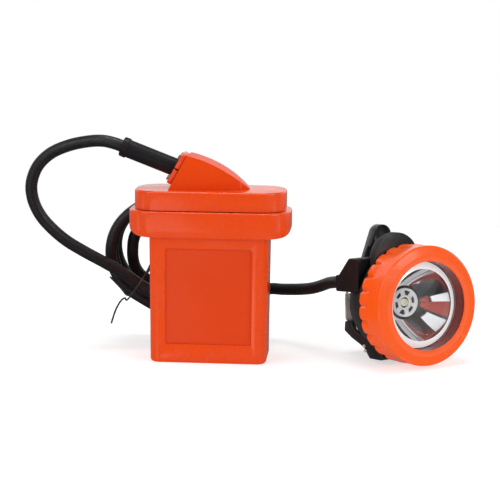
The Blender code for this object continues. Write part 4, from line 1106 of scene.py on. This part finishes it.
def light_source():
    """The emitter in its silver holder, which has a painted glow, with six windows between spokes."""
    profile = mm_line([
        (3.3, -27.0, 0), (3.3, -25.9, 0.3), (4.3, -25.3, 0.3), (7.4, -25.9, 0.2), (7.8, -24.8, 0.3),
        (8.6, -24.8, 0.3), (8.6, -27.0, 0),
    ])
    ring = lathe("led_holder", profile, holder_silver_painted_glow(), HEAD)
    windows = []
    for middle in range(12, 372, 60):
        outline = arc(0, 0, 4.4 * MM, middle - 17, middle + 17, 6) + arc(0, 0, 7.3 * MM, middle + 21, middle - 21, 6)
        windows.append(prism("window", outline, -30 * MM, -20 * MM, None, HEAD))
    cut(ring, *windows)
    piece(ring, ["led_retainer_ring"])
    dome = [(0, -24.4 * MM)]
    for step in range(1, 11):
        angle = math.radians(step * 9)
        dome.append((2.3 * MM * math.sin(angle), -27.0 * MM + 2.6 * MM * math.cos(angle)))
    dome.append((0, -27.0 * MM))
    piece(lathe("led_dome", dome, led_phosphor(), HEAD, 48), ["main_led"])
    profile = mm_line([(0, -27.3, 0), (13, -27.3, 0.2), (13, -28.9, 0.2), (0, -28.9, 0)], False)
    board = lathe("led_disc", profile, simple("led_board_mask", (0.03, 0.03, 0.032), 0.5), HEAD, 64)
    piece(board, ["led_board"])


def shell_body():
    outer = [
        (29.2, -14.8, 0.2), (33.0, -14.8, 0.3), (33.0, -22.3, 0), (34.6, -22.3, 0.4), (34.6, -26.0, 0.8),
        (33.2, -26.9, 0.4), (32.4, -32.0, 0), (31.0, -37.0, 0), (29.5, -40.6, 0), (27.7, -44.0, 3.0),
        (26.1, -46.6, 0.8), (26.1, -47.6, 0.5), (24.6, -47.6, 0.3), (24.0, -48.4, 1.0), (0, -48.4, 0),
    ]
    inner = [
        (0, -46, 0), (22, -46, 2.0), (24.8, -44.2, 2.0), (27.3, -40, 2.0), (28.6, -35, 2.0), (29.2, -27, 0),
    ]
    return lathe("shell_body", mm_line(outer, False) + mm_line(inner, False), black_plastic(), HEAD, 160)


def ribbed_hump():
    """The arch in front of the switch: a short drum on the shell's shoulder, with fine grooves round it."""
    x, y, radius = SWITCH_HUMP
    profile = [(0, -22.6 * MM), (radius - 1.2 * MM, -22.6 * MM), (radius - 0.3 * MM, -22.9 * MM), (radius, -23.6 * MM)]
    for index in range(3):
        top = (-24.2 - index * 1.3) * MM
        profile += [(radius, top), (radius - 0.3 * MM, top - 0.3 * MM), (radius - 0.3 * MM, top - 0.5 * MM)]
        profile += [(radius, top - 0.8 * MM)]
    profile += [(radius - 0.3 * MM, -28.4 * MM), (radius - 1.2 * MM, -28.8 * MM), (0, -28.8 * MM)]
    return lathe("hump", profile, black_plastic(), HEAD @ moved(x, y, 0), 128)


def headpiece_shell():
    shell = shell_body()
    profile = mm_line([(0, -24, 0), (6.4, -24, 0), (6.4, -48.6, 0.4), (0, -48.6, 0)], False)
    boss = lathe("boss", profile, black_plastic(), HEAD @ moved(*SWITCH_AXIS, 0), 64)
    core = lathe("core", mm_line([
        (0, -10, 0), (29.2, -10, 0), (29.2, -27, 0), (28.6, -35, 0), (27.3, -40, 0), (24.8, -44.2, 0),
        (22, -46, 0), (0, -46, 0),
    ], False), None, HEAD, 160)
    hump = ribbed_hump()
    join(hump, boss)
    cut(hump, core)
    join(shell, hump)
    piece(shell, ["headpiece_shell"])


def shell_form():
    """The shell's outer form a gap larger, to shape what sits on it."""
    points = [
        (0, -10), (34.7, -10), (34.7, -26.2), (33.3, -27.0), (32.5, -32.1), (31.1, -37.1), (29.6, -40.7),
        (27.8, -44.1), (26.2, -46.7), (26.2, -47.7), (24.0, -48.5), (0, -48.5),
    ]
    gap = 0.2
    points = [(radius + gap if radius else 0, z - gap if z < -48 else z, 0) for radius, z in points]
    return lathe("form", mm_line(points), None, HEAD, 120)


def side_form(name, points, left, right, material):
    """A prism across the headpiece, from points of depth behind its front, height and fillet in millimetres."""
    across = Matrix(((0, 0, 1, 0), (0, 1, 0, 0), (-1, 0, 0, 0), (0, 0, 0, 1)))
    return prism(name, mm_line(points), left, right, material, HEAD @ across)


def cable_boot():
    boot = side_form("boot_body", [
        (27.4, 8.7, 1.0), (27.4, 29.4, 1.2), (36.5, 29.4, 2.5), (48.0, 18.4, 2.0), (51.5, 18.0, 1.2), (51.5, 7.8, 1.2),
    ], *BOOT_SIDES, moulded_rubber())
    soften(boot, 1.5 * MM, 5, 40)
    x, y, radius = SWITCH_HUMP
    hump = rod("hump_form", (x, y, -10 * MM), (x, y, -29.1 * MM), radius + 0.2 * MM, HEAD, 96)
    outline = mm_line([(-24.4, -5, 0), (0, -5, 0), (0, 40, 0), (-24.4, 40, 0)])
    cut(boot, shell_form(), hump, prism("behind", outline, -70 * MM, -47.2 * MM, None, HEAD))
    piece(boot, ["cable_boot"])


def charging_block():
    block = side_form("charging_block_body", [
        (22.6, -20.0, 0), (22.6, -33.0, 0.8), (24.4, -34.2, 0.8), (36.0, -34.4, 1.0), (38.4, -32.2, 1.0),
        (41.0, -29.0, 1.5), (46.0, -26.7, 2.0), (55.0, -23.7, 2.0), (63.2, -19.6, 0.8), (62.4, -13.4, 0.8),
        (57.6, -13.4, 0.8), (52.6, -18.2, 1.0), (49.6, -19.6, 0.8), (40.0, -19.6, 0),
    ], -BLOCK_HALF_WIDTH, BLOCK_HALF_WIDTH, black_plastic())
    soften(block, 0.7 * MM, 3, 40)
    cut(block, shell_form())
    piece(block, ["charging_block"])
    profile = mm_line([(0, 1.2, 0), (1.1, 1.2, 0.4), (1.1, 0, 0.1), (0.7, 0, 0), (0.7, -1.0, 0), (0, -1.0, 0)], False)
    for index, place in enumerate(CONTACTS, 1):
        matrix = HEAD @ moved(-BLOCK_HALF_WIDTH - 0.3 * MM, *place) @ aimed((-1, 0, 0))
        button = lathe(f"contact_button_{index}", profile, nickel(), matrix, 32)
        piece(button, [f"charging_contact_{index}"])


def cap_hook():
    """A bent strip, in depths behind the front and heights."""
    line = mm_line([(49.4, -18.2, 0), (49.4, -10.0, 2.5), (52.2, -5.6, 8), (55.4, 0.2, 8), (57.0, 3.4, 0)], False, 6)
    line += [(x * MM, y * MM) for x, y in [*arc(58.8, 3.2, 1.8, 165, 5, 10), (61.0, 1.0), (61.0, -5.0), (61.0, -13.4)]]
    steel = brushed_steel("hook_steel", (0.80, 0.79, 0.77), (900, 60, 900), metallic=0.6)
    points = [(height, -depth) for depth, height in line]
    piece(strip("hook_strip", points, 20 * MM, 1.2 * MM, 2.0 * MM, steel, HEAD), ["cap_hook"])
    for index, side in enumerate((-1, 1), 1):
        seat = HEAD @ moved(side * 10 * MM, -14.2 * MM, -50.3 * MM) @ turned(180, "X")
        screw(f"hook_screw_{index}", seat, 2.3, 1.0, 5.4)


def lever_outline():
    hub, head = 7.4 * MM, 6.6 * MM
    lean = math.degrees(math.asin((head - hub) / LEVER_LENGTH))
    return arc(0, 0, hub, 90 + lean, 270 - lean, 32) + arc(LEVER_LENGTH, 0, head, -90 - lean, 90 + lean, 36)


def switch():
    """A tapered thumb lever: its head comes forward past the shell's edge, and has a dish in its front."""
    axes = HEAD @ moved(*SWITCH_AXIS, 0)
    arm_axes = axes @ turned(LEVER_DEGREES, "Z")
    lever = prism("lever_arm", lever_outline(), LEVER_BACK, LEVER_HEAD, lever_plastic(), arm_axes)
    cut(lever, rod("relief", (0, 0, LEVER_ARM), (0, 0, -40 * MM), 11.5 * MM, axes, 96))
    editor = bmesh.new()
    bmesh.ops.create_uvsphere(editor, u_segments=64, v_segments=48, radius=11.5 * MM)
    editor.transform(Matrix.Diagonal((1.1, 0.95, 1.0, 1.0)))
    cut(lever, link_mesh("dish", editor, None, arm_axes @ moved(18.4 * MM, 0.6 * MM, LEVER_HEAD + 9.9 * MM)))
    cut(lever, rod("eye", (11.8 * MM, 0, -60 * MM), (11.8 * MM, 0, -40 * MM), 0.9 * MM, arm_axes))
    profile = mm_line([(0, -50, 0), (4.4, -50, 0), (4.4, -52.8, 0.5), (0, -52.8, 0)], False)
    join(lever, lathe("hub", profile, lever_plastic(), axes, 64))
    soften(lever, 0.7 * MM, 4, 40)
    piece(lever, ["switch_lever"], "switch")
    cap = screw("lever_screw", axes @ moved(0, 0, -53.1 * MM) @ turned(180, "X"), 2.9, 0.9, 4.0)
    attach(cap, "switch")


# ---------------- what the frame's own solids are made of

def paint_frame():
    """Gives each CAD solid that still shows, or shows once a cover is off, its own material."""
    finishes = {
        "seals": moulded_rubber(),
        "screws": brushed_steel(),
        "contacts": simple("nickel_plate", (0.72, 0.70, 0.64), 0.28, 1.0),
        "circuit_boards": simple("solder_mask", (0.015, 0.12, 0.05), 0.35),
        "cell_cradle": simple("grey_spacer", (0.20, 0.20, 0.205), 0.6),
        "cells": simple("cell_wrap", (0.02, 0.10, 0.32), 0.3),
        "red_leads": simple("red_insulation", (0.45, 0.012, 0.010), 0.4),
        "black_leads": simple("black_insulation", (0.012, 0.012, 0.012), 0.4),
        "heat_sink": brushed_steel("machined_aluminium", (0.77, 0.78, 0.79), (600, 600, 60)),
        "spindle": brushed_steel(),
        "switch_brass": simple("bright_brass", (0.62, 0.42, 0.14), 0.28, 1.0),
    }
    for entry in frame["record"]["subparts"]:
        material = finishes.get(entry["material_slot"])
        if material is None:
            continue
        data = frame["nodes"][entry["node"]].data
        data.materials.clear()
        data.materials.append(material)


add_camera()
cord()
add_studio()
battery_case()
battery_lid()
gland_clamp()
lid_screws()
sleeve()
belt_loop()
bezel_ring()
lens_pack()
reflector()
light_source()
headpiece_shell()
cable_boot()
charging_block()
cap_hook()
switch()
paint_frame()
